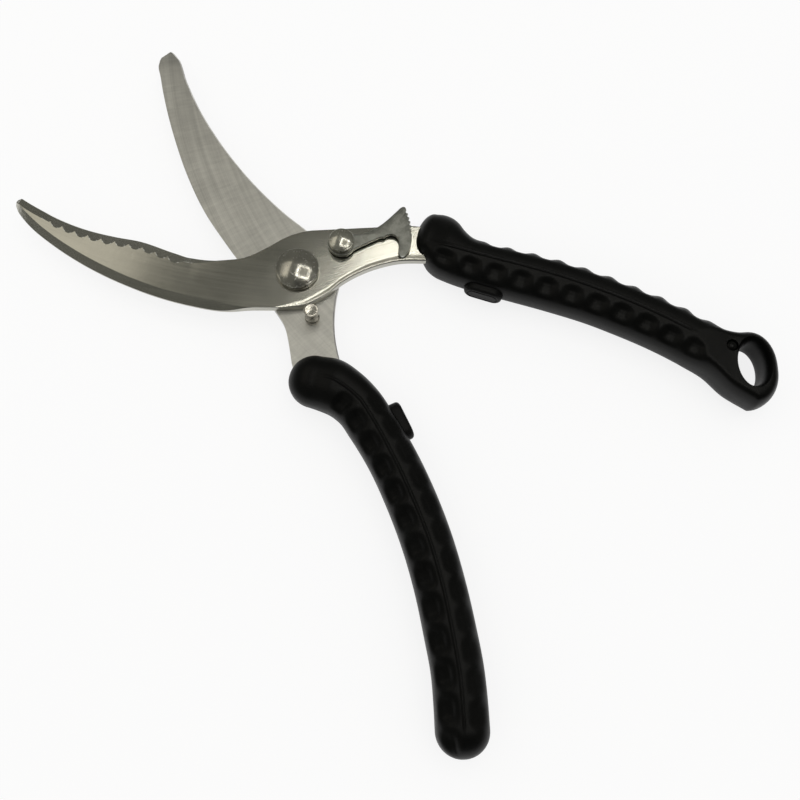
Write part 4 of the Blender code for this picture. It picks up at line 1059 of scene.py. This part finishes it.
# %% [markdown]
# ## Blades
# At the tip both bevels need more room than the blade has, so both shrink by the same share and
# the blade gets thinner, as a real one does. The plain blade's tip is also ground off on its
# flat side, which gives the small facet in the picture.

# %% Blades
EDGE_LAND = 0.4
EDGE_BEVEL = 0.4
BEVEL_LIMIT = 0.95
TIP_FULLNESS = 0.35
TIP_DROP = 0.5
TIP_LENGTH = 5.5
UPPER_CHAMFER = 0.2
LOWER_CHAMFER = 0.45
UPPER_BACK_LIMIT = 0.98
LOWER_BACK_LIMIT = 0.8
FLAT_SHARES = (0.02, 0.5, 0.98)


def plate(name, pairs, places, face, side, bevel, chamfer, back_ground, facet):
    """Blade with its arm and tang, its flat face at a height and its ground side up or down."""
    edges = [pair[0] for pair in pairs]
    backs = [pair[1] for pair in pairs]
    tip = (Vector(edges[0]) + Vector(backs[0])) / 2.0
    rings = []
    for place in places:
        edge = curve_at(edges, place)
        back = curve_at(backs, place)
        width = (back - edge).length
        across = (back - edge) / width
        cut_width, reach = bevel(edge.x)
        back_width, drop_back, arm = back_bevel(back.x)
        if not back_ground:
            back_width = drop_back = 0.0
        thin = width * BEVEL_LIMIT / max(cut_width + back_width, width * BEVEL_LIMIT)
        cut_width = cut_width * thin
        back_width = back_width * thin
        gone = 0.0
        if facet:
            drop = 1.0 - ((edge + back) / 2.0 - tip).length / TIP_LENGTH
            gone = max(0.0, TIP_DROP * drop)
        land = EDGE_LAND + gone
        top = mix(land, PLATE_THICKNESS, thin ** TIP_FULLNESS)
        limit = UPPER_BACK_LIMIT if back_ground else LOWER_BACK_LIMIT
        low = min(top - drop_back * thin, mix(land, top, limit))
        fine = min(EDGE_BEVEL, cut_width / 2.0) if back_ground else 0.0
        slope = GROUND_SLOPE if back_ground else (top - land) / max(cut_width, 0.01)
        inner = edge + across * max(cut_width, 0.05)
        outer = back - across * back_width
        section = [(edge, gone), (edge, land)]
        section += cutting_side(edge, across, fine, cut_width, reach * thin, slope, land, top)
        section += [(mix(inner, outer, share), top) for share in FLAT_SHARES]
        section += back_side(outer, across * back_width, arm, top, low)
        section += [(back, gone + chamfer), (back - across * chamfer, gone)]
        rings.append([(spot.x, spot.y, face + side * rise) for spot, rise in section])
    return loft(name, rings)


upper = plate(
    "scalloped_blade", upper_pairs, upper_places, UPPER_BOTTOM, 1.0, upper_bevel,
    chamfer=UPPER_CHAMFER, back_ground=True, facet=False,
)
lower = plate(
    "plain_blade", lower_pairs, lower_places, LOWER_TOP, -1.0, lower_bevel,
    chamfer=LOWER_CHAMFER, back_ground=False, facet=True,
)
print("blade faces before cutting:", len(upper.data.polygons), len(lower.data.polygons))

# %% [markdown]
# ## Holes
# The blades, the catch and the grips are cut where other pieces pass through. A Boolean keeps
# each cutter as simple as the drill or core that makes the real hole.

# %% Cutters
SOCKET_STEPS = 4


def round_ring(centre, radius, height, steps=64, squeeze=1.0, tilt=0.0):
    """Ring of points, an oval where squeeze isn't 1."""
    points = []
    for step in range(steps):
        spot = polar(radius, 360.0 * step / steps)
        spot.y = spot.y * squeeze
        spot = Matrix.Rotation(radians(tilt), 2) @ spot
        points.append((centre[0] + spot.x, centre[1] + spot.y, height))
    return points


def cut_drum(name, radius, low, high, centre=(0.0, 0.0)):
    """Round cutter."""
    return loft("cut_" + name, [round_ring(centre, radius, low), round_ring(centre, radius, high)])


def cut_socket(name, pairs, first, face, side):
    """Space for a tang and the arm in front of it, from a pair on, grown by the fit."""
    edges = [pair[0] for pair in pairs]
    backs = [pair[1] for pair in pairs]
    low = face - side * FIT_GAP
    high = face + side * (PLATE_THICKNESS + FIT_GAP)
    rings = []
    steps = (len(pairs) - 1 - first) * SOCKET_STEPS
    for step in range(steps + 1):
        place = mix(first, len(pairs) - 1, step / steps)
        edge = curve_at(edges, place)
        back = curve_at(backs, place)
        across = (back - edge).normalized() * FIT_GAP
        rings.append([*raised((edge - across, back + across), low),
                      *raised((back + across, edge - across), high)])
    ahead = (Vector(rings[-1][0]) - Vector(rings[-2][0])).normalized() * FIT_GAP
    rings.append([point + ahead for point in rings[-1]])
    return loft("cut_" + name, rings)


print("cutters can be made")

# %% [markdown]
# ## Holes of the blades
# Each blade has a hole for the pivot and half of the round recess that hides the spring. The
# upper one also carries the catch's rivet and the lower one the pin. The ground edges of the
# blades are shallow, so even a small angle has to count as an edge.

# %% Cut the blades
PIVOT_HOLE = 3.5
RECESS_RADIUS = 5.7
RECESS_DEPTH = 1.3
CATCH_HOLE = 2.0
PIN_HOLE = 1.8
OVERCUT = 1.0
BLADE_CREASE = 12.0

settle(upper, upper_steel, BLADE_CREASE, [
    cut_drum("pivot_upper", PIVOT_HOLE, LOWER_TOP, UPPER_TOP + OVERCUT),
    cut_drum("recess_upper", RECESS_RADIUS, LOWER_TOP, UPPER_BOTTOM + RECESS_DEPTH),
    cut_drum("catch_upper", CATCH_HOLE, LOWER_TOP, UPPER_TOP + OVERCUT, CATCH_AXIS),
])
settle(lower, lower_steel, BLADE_CREASE, [
    cut_drum("pivot_lower", PIVOT_HOLE, LOWER_BOTTOM - OVERCUT, UPPER_BOTTOM),
    cut_drum("recess_lower", RECESS_RADIUS, LOWER_TOP - RECESS_DEPTH, UPPER_BOTTOM),
    cut_drum("pin_lower", PIN_HOLE, LOWER_BOTTOM - OVERCUT, UPPER_BOTTOM, PIN_PLACE),
])
dress(upper, "upper_arm", "upper_blade")
dress(lower, "lower_arm", "lower_blade")

# %% [markdown]
# ## Stops
# The stops are soft pads pressed into pockets of the grips, and they meet when the shears close.
# A rounded box would do from afar, but the real pads have a thin groove round the end face. A
# loft of rounded rectangles that step in and out gives the groove and the rounding in one go.

# %% Stops
STOP_HALF_LENGTH = 6.3
STOP_HALF_DEPTH = 3.4
STOP_CORNER = 3.2
STOP_ROUND = 1.1
CORNER_STEPS = 7
STOP_HEIGHT_A = 4.5
STOP_HEIGHT_B = 5.2
# Steps in from the side, and depths below the end face, from the face's middle to the root
STOP_PROFILE = [(2.9, 0.05), (2.1, 0.0), (1.7, 0.03), (1.58, 0.26), (1.3, 0.3), (1.17, 0.1)]
STOP_PROFILE += [
    (STOP_ROUND * (1.0 - sin(radians(angle))), STOP_ROUND * (1.0 - cos(radians(angle))))
    for angle in (10, 25, 40, 55, 70, 90)
]


def rounded_box_ring(spot, across, half, deep, corner):
    """Rounded rectangle of points that stands on an axis across the grip and on Z."""
    ring = []
    for index, (a, b) in enumerate(((1, 1), (-1, 1), (-1, -1), (1, -1))):
        for step in range(CORNER_STEPS + 1):
            turn = polar(corner, 90.0 * (index + step / CORNER_STEPS))
            flat = spot + across * (a * (half - corner) + turn.x)
            ring.append((*flat, MEETING_PLANE + b * (deep - corner) + turn.y))
    return ring


def stop_pad(name, face, inward, height):
    """Stop whose end face is centred on a point and whose body runs inward."""
    across = Vector((-inward.y, inward.x))
    rings = []
    for inset, depth in STOP_PROFILE + [(0.0, height - STOP_ROUND), (0.5, height)]:
        rings.append(rounded_box_ring(
            face + inward * depth, across, STOP_HALF_LENGTH - inset, STOP_HALF_DEPTH - inset,
            max(STOP_CORNER - inset, 0.25),
        ))
    return loft(name, rings)


print("points across a stop:", 4 * (CORNER_STEPS + 1))

# %% [markdown]
# ## Stops and their pockets
# The two end faces have to meet when the lower arm has turned by its whole range. So only the
# first stop is placed by measure. The second is its mirror at the closed pose, turned back to
# the open one, and it meets the first for any closing angle.

# %% Place the stops
CLOSE_ANGLE = 47.0
STOP_MEETING_GAP = 0.3
STOP_PLACE_A = (59.6, 7.6)
STOP_TURN_A = 87.0
STOP_FIT = 0.2
MOULDED_CREASE = 50.0


def stop_pocket(name, face, inward, height):
    """Space for a stop, grown by the fit."""
    across = Vector((-inward.y, inward.x))
    return loft("cut_" + name, [
        rounded_box_ring(
            face + inward * depth, across, STOP_HALF_LENGTH + STOP_FIT,
            STOP_HALF_DEPTH + STOP_FIT, STOP_CORNER + STOP_FIT,
        )
        for depth in (0.0, height + FIT_GAP)
    ])


inward_a = polar(1.0, STOP_TURN_A)
face_a = Vector(STOP_PLACE_A)
closing = Matrix.Rotation(radians(-CLOSE_ANGLE), 2)
inward_b = closing @ -inward_a
face_b = closing @ (face_a - inward_a * STOP_MEETING_GAP)
stop_a = stop_pad("upper_stop", face_a, inward_a, STOP_HEIGHT_A)
stop_b = stop_pad("lower_stop", face_b, inward_b, STOP_HEIGHT_B)
settle(stop_a, stop_black, MOULDED_CREASE)
settle(stop_b, stop_black, MOULDED_CREASE)
dress(stop_a, "upper_arm", "stop_a")
dress(stop_b, "lower_arm", "stop_b")

# %% [markdown]
# ## Hanging ring
# The hang hole is narrowest halfway and has rolled lips, so its cutter widens towards both faces
# in small steps. A bevelled cylinder would give a lip, but not the waist. A round plug closes
# the core hole beside it. We cut the sockets, pockets and holes of each grip in one go.

# %% Grips with their holes
HOLE_CENTRE = (146.9, 5.2)
HOLE_HALF = (7.6, 4.7)
HOLE_TILT = 104.5
PLUG_PLACE = (139.3, 8.7)
PLUG_RECESS = 1.95
HOLE_WAIST = -0.45
HOLE_LIP = 0.9
HOLE_CURL = 4
HOLE_STEPS = 12
PLUG_SEAT = 4.9
GRIP_CREASE = 40.0

heights = [RING_FACE * step / HOLE_STEPS for step in range(-HOLE_STEPS, HOLE_STEPS + 1)]
levels = [
    (mix(HOLE_WAIST, HOLE_LIP, abs(height / RING_FACE) ** HOLE_CURL), height)
    for height in heights
]
levels = [(HOLE_LIP, -RING_FACE - OVERCUT)] + levels + [(HOLE_LIP, RING_FACE + OVERCUT)]
hang_hole = loft("cut_hang_hole", [
    round_ring(
        HOLE_CENTRE, HOLE_HALF[0] + out, MEETING_PLANE + height, 96,
        (HOLE_HALF[1] + out) / (HOLE_HALF[0] + out), HOLE_TILT,
    )
    for out, height in levels
])
plug_hole = cut_drum(
    "plug_hole", PLUG_RECESS, MEETING_PLANE + PLUG_SEAT, MEETING_PLANE + RING_FACE + OVERCUT,
    PLUG_PLACE,
)
settle(grip_a, grip_black, GRIP_CREASE, [
    cut_socket("socket_a", upper_pairs, len(UPPER_PAIRS) - 3, UPPER_BOTTOM, 1.0),
    stop_pocket("pocket_a", face_a, inward_a, STOP_HEIGHT_A),
    hang_hole,
    plug_hole,
])
settle(grip_b, grip_black, GRIP_CREASE, [
    cut_socket("socket_b", lower_pairs, len(LOWER_PAIRS) - 4, LOWER_TOP, -1.0),
    stop_pocket("pocket_b", face_b, inward_b, STOP_HEIGHT_B),
])
dress(grip_a, "upper_arm", "grip_a")
dress(grip_b, "lower_arm", "grip_b")

# %% [markdown]
# ## Measures of the catch
# The catch was stamped, so one outline says it all: an eye round the rivet, a curved neck, a
# hook, and a waved thumb edge. It is measured about the rivet in radii and angles, because the
# catch turns. Points in X and Y would have to be worked out again for every other pose.

# %% Measures of the catch
CATCH_REST_ANGLE = 32.0
LOCK_ANGLE = 90.5
CATCH_EYE_RADIUS = 4.45
CATCH_TAIL_ANGLE = -31.0
CATCH_TAIL_RADIUS = 21.2
CATCH_TIP_RADIUS = 24.35
CATCH_TIP_ANGLE = 15.5
TIP_CORNER = ((0.0, -1.3), (-0.1, -0.2), (-0.55, 0.5), (-1.4, 0.8))
NECK_IN = ((6.2, -26.0), (8.3, -16.0), (10.6, -10.5), (12.5, -7.2))
NECK_OUT = (
    (21.5, 15.5), (19.3, 14.0), (17.1, 12.2), (14.5, 10.0), (12.0, 8.4), (9.8, 7.8),
    (7.6, 8.2), (6.2, 11.0), (5.3, 17.0), (4.7, 25.0),
)
NOTCH_RADIUS = 2.65
NOTCH_TURN = (140.0, 8.0)
EYE_TURN = (34.0, 314.0)
EDGE_CURVE = 0.8
WAVE_FREE = -23.0
WAVES = 6
WAVE_DEPTH = 0.55
WAVE_STEPS = 10
WAVE_ANGLES = (-9.0, 12.5)


def arc(centre, radius, start, end, steps):
    """Points of an arc, its angles in degrees."""
    return [centre + polar(radius, mix(start, end, step / steps)) for step in range(steps + 1)]


def smoothed(points, parts):
    """Points of the smooth curve through a few points."""
    count = (len(points) - 1) * parts
    return [curve_at(points, step / parts) for step in range(count)] + [points[-1]]


print("waves on the thumb edge:", WAVES)

# %% [markdown]
# ## Outline of the catch
# The hook has to hold the pin when the shears are closed. So its notch isn't measured: it lies
# where the closed pin is, seen from the rivet, and fits for any closing angle. From there the
# outline runs round the tail, up the waved edge, over the tip and back along the neck.


# %% Outline of the catch
def catch_outline():
    """Outline of the catch about its rivet, its own axis along +X."""
    closed_pin = Matrix.Rotation(radians(CLOSE_ANGLE), 2) @ Vector(PIN_PLACE)
    reach = closed_pin - Vector(CATCH_AXIS)
    pin_angle = degrees(atan2(reach.y, reach.x)) - (CATCH_REST_ANGLE - LOCK_ANGLE)
    notch_centre = polar(reach.length, pin_angle)
    inner = reach.length + NOTCH_RADIUS
    points = smoothed([polar(*spot) for spot in NECK_IN], 4)
    start, end = [pin_angle + turn for turn in NOTCH_TURN]
    points += arc(notch_centre, NOTCH_RADIUS, start, end, 18)
    points.append(polar(inner, mix(pin_angle, CATCH_TAIL_ANGLE, 0.5)))
    tail = (CATCH_TAIL_RADIUS - inner) / 2.0
    tail_centre = polar(inner + tail, CATCH_TAIL_ANGLE + degrees(tail / inner))
    points += arc(tail_centre, tail, CATCH_TAIL_ANGLE + 180.0, CATCH_TAIL_ANGLE + 360.0, 14)
    pitch = (WAVE_ANGLES[1] - WAVE_ANGLES[0]) / WAVES
    steps = ceil((WAVE_ANGLES[1] - WAVE_FREE) / pitch * WAVE_STEPS)
    for step in range(steps + 1):
        angle = mix(WAVE_FREE, WAVE_ANGLES[1], step / steps)
        out = (angle - CATCH_TAIL_ANGLE) / (CATCH_TIP_ANGLE - CATCH_TAIL_ANGLE)
        radius = mix(CATCH_TAIL_RADIUS, CATCH_TIP_RADIUS, out ** EDGE_CURVE)
        wave = (angle - WAVE_ANGLES[0]) / pitch
        dip = 0.5 - 0.5 * cos(2.0 * pi * wave) if wave > 0.0 else 0.0
        points.append(polar(radius - WAVE_DEPTH * dip, angle))
    corner = [
        polar(CATCH_TIP_RADIUS + out, CATCH_TIP_ANGLE + angle) for out, angle in TIP_CORNER
    ]
    points += smoothed(corner + [polar(*spot) for spot in NECK_OUT], 4)
    return points + arc(Vector((0.0, 0.0)), CATCH_EYE_RADIUS, *EYE_TURN, 48)


outline = catch_outline()
print("points in the catch's outline:", len(outline))

# %% [markdown]
# ## Catch
# Stamped edges are rubbed round in use. A Bevel modifier stumbles over the small waves, so we
# stack the outline in slightly smaller copies instead, each set back as on a quarter circle.

# %% Catch
CATCH_THICKNESS = 1.3
CATCH_LIFT = 0.8
CATCH_EASE = 0.14
CATCH_TURNS = (0.0, 22.5, 45.0, 67.5, 90.0)
catch_base = UPPER_TOP + CATCH_LIFT


def drawn_in(points, ease):
    """Outline drawn in by a small amount."""
    result = []
    for index, point in enumerate(points):
        along = (points[(index + 1) % len(points)] - points[index - 1]).normalized()
        result.append(point + Vector((-along.y, along.x)) * ease)
    return result


def catch_ring(angle, height):
    """Outline at a height, drawn in as a rounded edge is at an angle."""
    spots = drawn_in(outline, CATCH_EASE * (1.0 - sin(radians(angle))))
    turned = [Matrix.Rotation(radians(CATCH_REST_ANGLE), 2) @ spot for spot in spots]
    return raised([spot + Vector(CATCH_AXIS) for spot in turned], height)


catch_rings = [
    catch_ring(angle, catch_base + CATCH_EASE * (1.0 - cos(radians(angle))))
    for angle in CATCH_TURNS
]
catch_rings += [
    catch_ring(angle, catch_base + CATCH_THICKNESS - CATCH_EASE * (1.0 - cos(radians(angle))))
    for angle in reversed(CATCH_TURNS)
]
catch = loft("stamped_catch", catch_rings)
eye_top = catch_base + CATCH_THICKNESS + OVERCUT
settle(catch, catch_steel, MOULDED_CREASE, [
    cut_drum("catch_eye", CATCH_HOLE, catch_base - OVERCUT, eye_top, CATCH_AXIS)
])
dress(catch, "catch", "catch_lever")

# %% [markdown]
# ## Turned pieces
# Rivet heads, the pin and the plug came off a lathe, so we make them as a lathe does: a profile
# swept once round its axis with the Screw modifier. A domed head is part of a ball, and its rim
# has both corners rounded.

# %% Turn a profile
TURN_STEPS = 96
TURNED_CREASE = 35.0


def dome(radius, low, high, steps=14):
    """Profile of a dome from the axis down to its rim."""
    rise = high - low
    ball = (radius * radius + rise * rise) / (2.0 * rise)
    spread = asin(min(radius / ball, 1.0))
    turns = [spread * step / steps for step in range(steps + 1)]
    return [(ball * sin(turn), high - ball + ball * cos(turn)) for turn in turns]


def rounded_rim(radius, high, low, ease):
    """Edge of a head with both corners rounded."""
    top = [(radius - ease + ease * sin(radians(angle)), high - ease + ease * cos(radians(angle)))
           for angle in (30, 60, 90)]
    bottom = [(radius - ease + ease * cos(radians(angle)), low + ease - ease * sin(radians(angle)))
              for angle in (0, 30, 60, 90)]
    return top + bottom


def turn_piece(name, profile, centre, material):
    """Turned piece from a profile of radii and heights, top of the axis first."""
    shape = bmesh.new()
    points = [shape.verts.new((radius * MM, 0.0, height * MM)) for radius, height in profile]
    for point, following in zip(points[:-1], points[1:]):
        shape.edges.new((point, following))
    mesh = bpy.data.meshes.new(name)
    shape.to_mesh(mesh)
    shape.free()
    piece = bpy.data.objects.new(name, mesh)
    scene.collection.objects.link(piece)
    screw = piece.modifiers.new("turn", "SCREW")
    screw.steps = screw.render_steps = TURN_STEPS
    screw.use_merge_vertices = True
    screw.merge_threshold = 0.000001
    settle(piece, material, TURNED_CREASE)
    piece.data.transform(Matrix.Translation((centre[0] * MM, centre[1] * MM, 0.0)))
    return piece


print("steps in a turn:", TURN_STEPS)

# %% [markdown]
# ## Pivot head
# The broad, low dome over the pivot, with its shank through both plates. The back head is the
# model's own, so the shank ends short of it.

# %% Pivot head
PIVOT_DOME = 6.7
PIVOT_RADIUS = 6.95
PIVOT_RIM = 1.9
PIVOT_HEIGHT = 3.5
PIVOT_EASE = 0.25
PIVOT_SHANK = 3.2
PIVOT_FOOT = 2.0

base = UPPER_TOP + STACK_GAP
profile = dome(PIVOT_DOME, base + PIVOT_RIM, base + PIVOT_HEIGHT)
profile += rounded_rim(PIVOT_RADIUS, base + PIVOT_RIM, base, PIVOT_EASE)
profile += [(PIVOT_SHANK, base), (PIVOT_SHANK, PIVOT_FOOT), (0.0, PIVOT_FOOT)]
pivot_head = turn_piece("pivot_head", profile, (0.0, 0.0), pivot_steel)
dress(pivot_head, "upper_arm", "pivot_rivet")

# %% [markdown]
# ## Catch rivet
# A smaller, higher head that stands on the catch. Its shank passes the catch and the plate and
# is spread below, which holds the catch with a little friction.

# %% Catch rivet
RIVET_DOME = 3.85
RIVET_RADIUS = 4.05
RIVET_RIM = 2.1
RIVET_HEIGHT = 2.95
RIVET_EASE = 0.2
RIVET_SHANK = 1.7
RIVET_SPREAD = 2.6
RIVET_FOOT = (0.95, 0.15)

base = catch_base + CATCH_THICKNESS + STACK_GAP
profile = dome(RIVET_DOME, base + RIVET_RIM, base + RIVET_HEIGHT)
profile += rounded_rim(RIVET_RADIUS, base + RIVET_RIM, base, RIVET_EASE)
profile += [
    (RIVET_SHANK, base), (RIVET_SHANK, UPPER_BOTTOM + RIVET_FOOT[0]),
    (RIVET_SPREAD, UPPER_BOTTOM + RIVET_FOOT[1]), (0.0, UPPER_BOTTOM + RIVET_FOOT[1]),
]
catch_head = turn_piece("catch_head", profile, CATCH_AXIS, catch_rivet_steel)
dress(catch_head, "upper_arm", "catch_rivet")

# %% [markdown]
# ## Lock pin
# The bright pin that the hook holds: a rounded head with a dished top, a narrower neck, a collar
# on the plate and a riveted foot below it.

# %% Lock pin
PIN_HEIGHT = 4.3
PIN_RADIUS = 2.3
PIN_ROUND = 0.18
PIN_NECK = 2.1
PIN_COLLAR = 2.35
PIN_SHANK = 1.5
# Radii, and depths below the top
PIN_DISH = ((0.0, 0.1), (1.0, 0.09), (1.7, 0.0))

pin_top = UPPER_TOP + PIN_HEIGHT
pin_seat = LOWER_TOP + STACK_GAP
pin_foot = LOWER_BOTTOM - STACK_GAP
profile = [(radius, pin_top - depth) for radius, depth in PIN_DISH]
profile += [
    (PIN_RADIUS - PIN_ROUND + PIN_ROUND * sin(radians(angle)),
     pin_top - PIN_ROUND + PIN_ROUND * cos(radians(angle)))
    for angle in (0, 30, 60, 90)
]
profile += [
    (PIN_RADIUS, pin_top - 0.6), (PIN_NECK, pin_top - 0.9), (PIN_NECK, pin_seat + 1.45),
    (PIN_COLLAR, pin_seat + 1.2), (PIN_COLLAR, pin_seat), (PIN_SHANK, pin_seat),
    (PIN_SHANK, pin_foot), (2.2, pin_foot), (2.0, pin_foot - 0.6), (0.0, pin_foot - 0.6),
]
pin = turn_piece("bright_pin", profile, PIN_PLACE, nickel)
dress(pin, "lower_arm", "lock_pin")

# %% [markdown]
# ## Ring plug
# A small plug in the ring's face. Its dome is lower than the ring's face, so nothing catches.

# %% Ring plug
PLUG_RADIUS = 1.75
PLUG_RIM = 0.5
PLUG_DOME = 0.7
PLUG_DEPTH = 1.3

rim = MEETING_PLANE + RING_FACE - PLUG_RIM
profile = dome(PLUG_RADIUS, rim, rim + PLUG_DOME)
profile += [(PLUG_RADIUS, rim - PLUG_DEPTH), (0.0, rim - PLUG_DEPTH)]
plug = turn_piece("ring_plug", profile, PLUG_PLACE, plug_black)
dress(plug, "upper_arm", "grip_plug")

# %% [markdown]
# ## Pieces that stay as they are
# The hidden washers, spring and back head already have their right shape in the model. Making
# them again would add nothing, so they only get their finish.

# %% Finish the model's own pieces
for node, material in (
    ("catch_washer", plain_steel),
    ("pivot_washer", plain_steel),
    ("pivot_back_head", pivot_steel),
    ("opening_spring", wire_steel),
):
    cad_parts[node].data.materials.clear()
    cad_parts[node].data.materials.append(material)
print("finishes given to the model's own pieces")

# %% [markdown]
# ## Floor
# The shears lie on white paper. White paint alone would come out grey in the shade, and more
# light would bleach the steel. So the paper is mostly a plain emission for the camera, and less
# of it for mirrors. The rest of it still takes the soft shadow of the shears.

# %% Floor
FLOOR_SIZE = 4.0
FLOOR_GAP = 0.00005
PAPER_GLOW = 0.82
MIRRORED_GLOW = 0.3


def seen_rays(graph):
    """1 for camera rays, and 1 for rays that a mirror or glass sends on."""
    camera_ray, glossy_ray, clear_ray = graph.node(
        "ShaderNodeLightPath", out=("Is Camera Ray", "Is Glossy Ray", "Is Transmission Ray")
    )
    return camera_ray, glossy_ray.math("MAXIMUM", glossy_ray, clear_ray)


paper = Finish("paper", {"Base Color": (0.93, 0.93, 0.93), "Roughness": 0.9})
direct, mirrored = seen_rays(paper)
glow = paper.node("ShaderNodeEmission", None, {"Color": (1.0, 1.0, 1.0), "Strength": 1.0})
share = direct * PAPER_GLOW + mirrored * MIRRORED_GLOW
paper.put(paper.output.inputs["Surface"], paper.mixed(paper.shader, glow, share))
half = FLOOR_SIZE / 2.0
mesh = bpy.data.meshes.new("floor")
corners = [(-half, -half, 0.0), (half, -half, 0.0), (half, half, 0.0), (-half, half, 0.0)]
mesh.from_pydata(corners, [], [(0, 1, 2, 3)])
mesh.materials.append(paper.material)
floor = bpy.data.objects.new("floor", mesh)
floor.location.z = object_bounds()[0].z - FLOOR_GAP
scene.collection.objects.link(floor)
print("floor height in mm:", round(floor.location.z / MM, 3))

# %% [markdown]
# ## Tent
# The picture was taken in a light tent. The steel mirrors its dim grey cloth, the white paper
# towards the horizon, and the dark room in front behind the photographer and on the far left.
# Diffuse surfaces get the plain level of the whole tent. A photographed surrounding would be
# simpler, but Mix Shader nodes let each kind of ray have its own answer.

# %% World
CLOTH_GLOW = 0.13
ROOM_GLOW = 0.06
PLAIN_LEVEL = 0.76
HORIZON = (0.0, 0.05)
OPEN_FRONT = (-0.36, -0.1)
OPEN_SIDE = (-0.22, 0.0)
DARK_LEFT = (-0.75, -0.4)

world = bpy.data.worlds.new("tent")
scene.world = world
world.use_nodes = True
tent = Graph(world.node_tree)


def cloth(colour, strength):
    """Light from a direction of the tent."""
    return tent.node("ShaderNodeBackground", None, {"Color": colour, "Strength": strength})


direct, mirrored = seen_rays(tent)
side, front, up = tent.parts_of(tent.node("ShaderNodeTexCoord", out="Generated"))
white = cloth((1.0, 1.0, 1.0), 1.0)
open_front = (1.0 - tent.step(front, *OPEN_FRONT)) * tent.step(side, *OPEN_SIDE)
low = 1.0 - tent.step(up, *HORIZON)
horizon = low * (1.0 - open_front) * tent.step(side, *DARK_LEFT)
room = cloth((1.0, 1.0, 0.9), ROOM_GLOW)
grey = tent.mixed(cloth((1.0, 1.0, 0.88), CLOTH_GLOW), room, open_front)
shiny = tent.mixed(grey, white, horizon)
light = tent.mixed(cloth((1.0, 1.0, 1.0), PLAIN_LEVEL), shiny, mirrored)
output = tent.tree.nodes.new("ShaderNodeOutputWorld")
tent.put(output.inputs["Surface"], tent.mixed(light, white, direct))
print("nodes in the tent:", len(tent.tree.nodes))

# %% [markdown]
# ## Lamps
# The rivet heads mirror a square ring of lamps overhead and a warm window on the left. Flat
# panels that face down give just these shapes. Each is given by its slopes, how far it lies to
# the right and to the back for each metre of height, because a mirror shows nothing else.


# %% Lamps
def panel(name, height, slopes, size, brightness, colour):
    """Panel that faces down: its centre's slopes, its size in slopes, and its brightness."""
    light = bpy.data.lights.new(name, "AREA")
    light.shape = "RECTANGLE"
    light.size = size[0] * height
    light.size_y = size[1] * height
    light.energy = brightness * pi * light.size * light.size_y
    light.color = colour
    item = bpy.data.objects.new(name, light)
    scene.collection.objects.link(item)
    item.location = Vector((slopes[0], slopes[1], 1.0)) * height
    item.visible_camera = False


RING_HEIGHT = 1.2
RING_SLOPES = (0.17, 0.225)
RING_SIDE = 0.53
RING_BAR = 0.035
RING_BRIGHTNESS = 6.2
RING_COLOUR = (1.0, 0.98, 0.92)
WINDOW_HEIGHT = 0.42
WARM = (1.0, 0.94, 0.81)

for number in range(4):
    away = polar(RING_SIDE / 2.0, 90.0 * number) + polar(RING_BAR / 2.0, 90.0 * number + 90.0)
    place = (RING_SLOPES[0] + away.x, RING_SLOPES[1] + away.y)
    size = (RING_BAR, RING_SIDE) if number % 2 == 0 else (RING_SIDE, RING_BAR)
    panel(f"ring_bar_{number}", RING_HEIGHT, place, size, RING_BRIGHTNESS, RING_COLOUR)
panel("window", WINDOW_HEIGHT, (-0.66, 0.24), (0.32, 0.84), brightness=0.62, colour=WARM)
panel("window_edge", WINDOW_HEIGHT, (-0.96, 0.24), (0.28, 0.84), brightness=0.3, colour=WARM)
cloth_height = RING_HEIGHT * 1.01
cloth_size = (RING_SIDE, RING_SIDE)
panel("ring_cloth", cloth_height, RING_SLOPES, cloth_size, brightness=0.18, colour=WARM)
print("lamps:", len(bpy.data.lights))
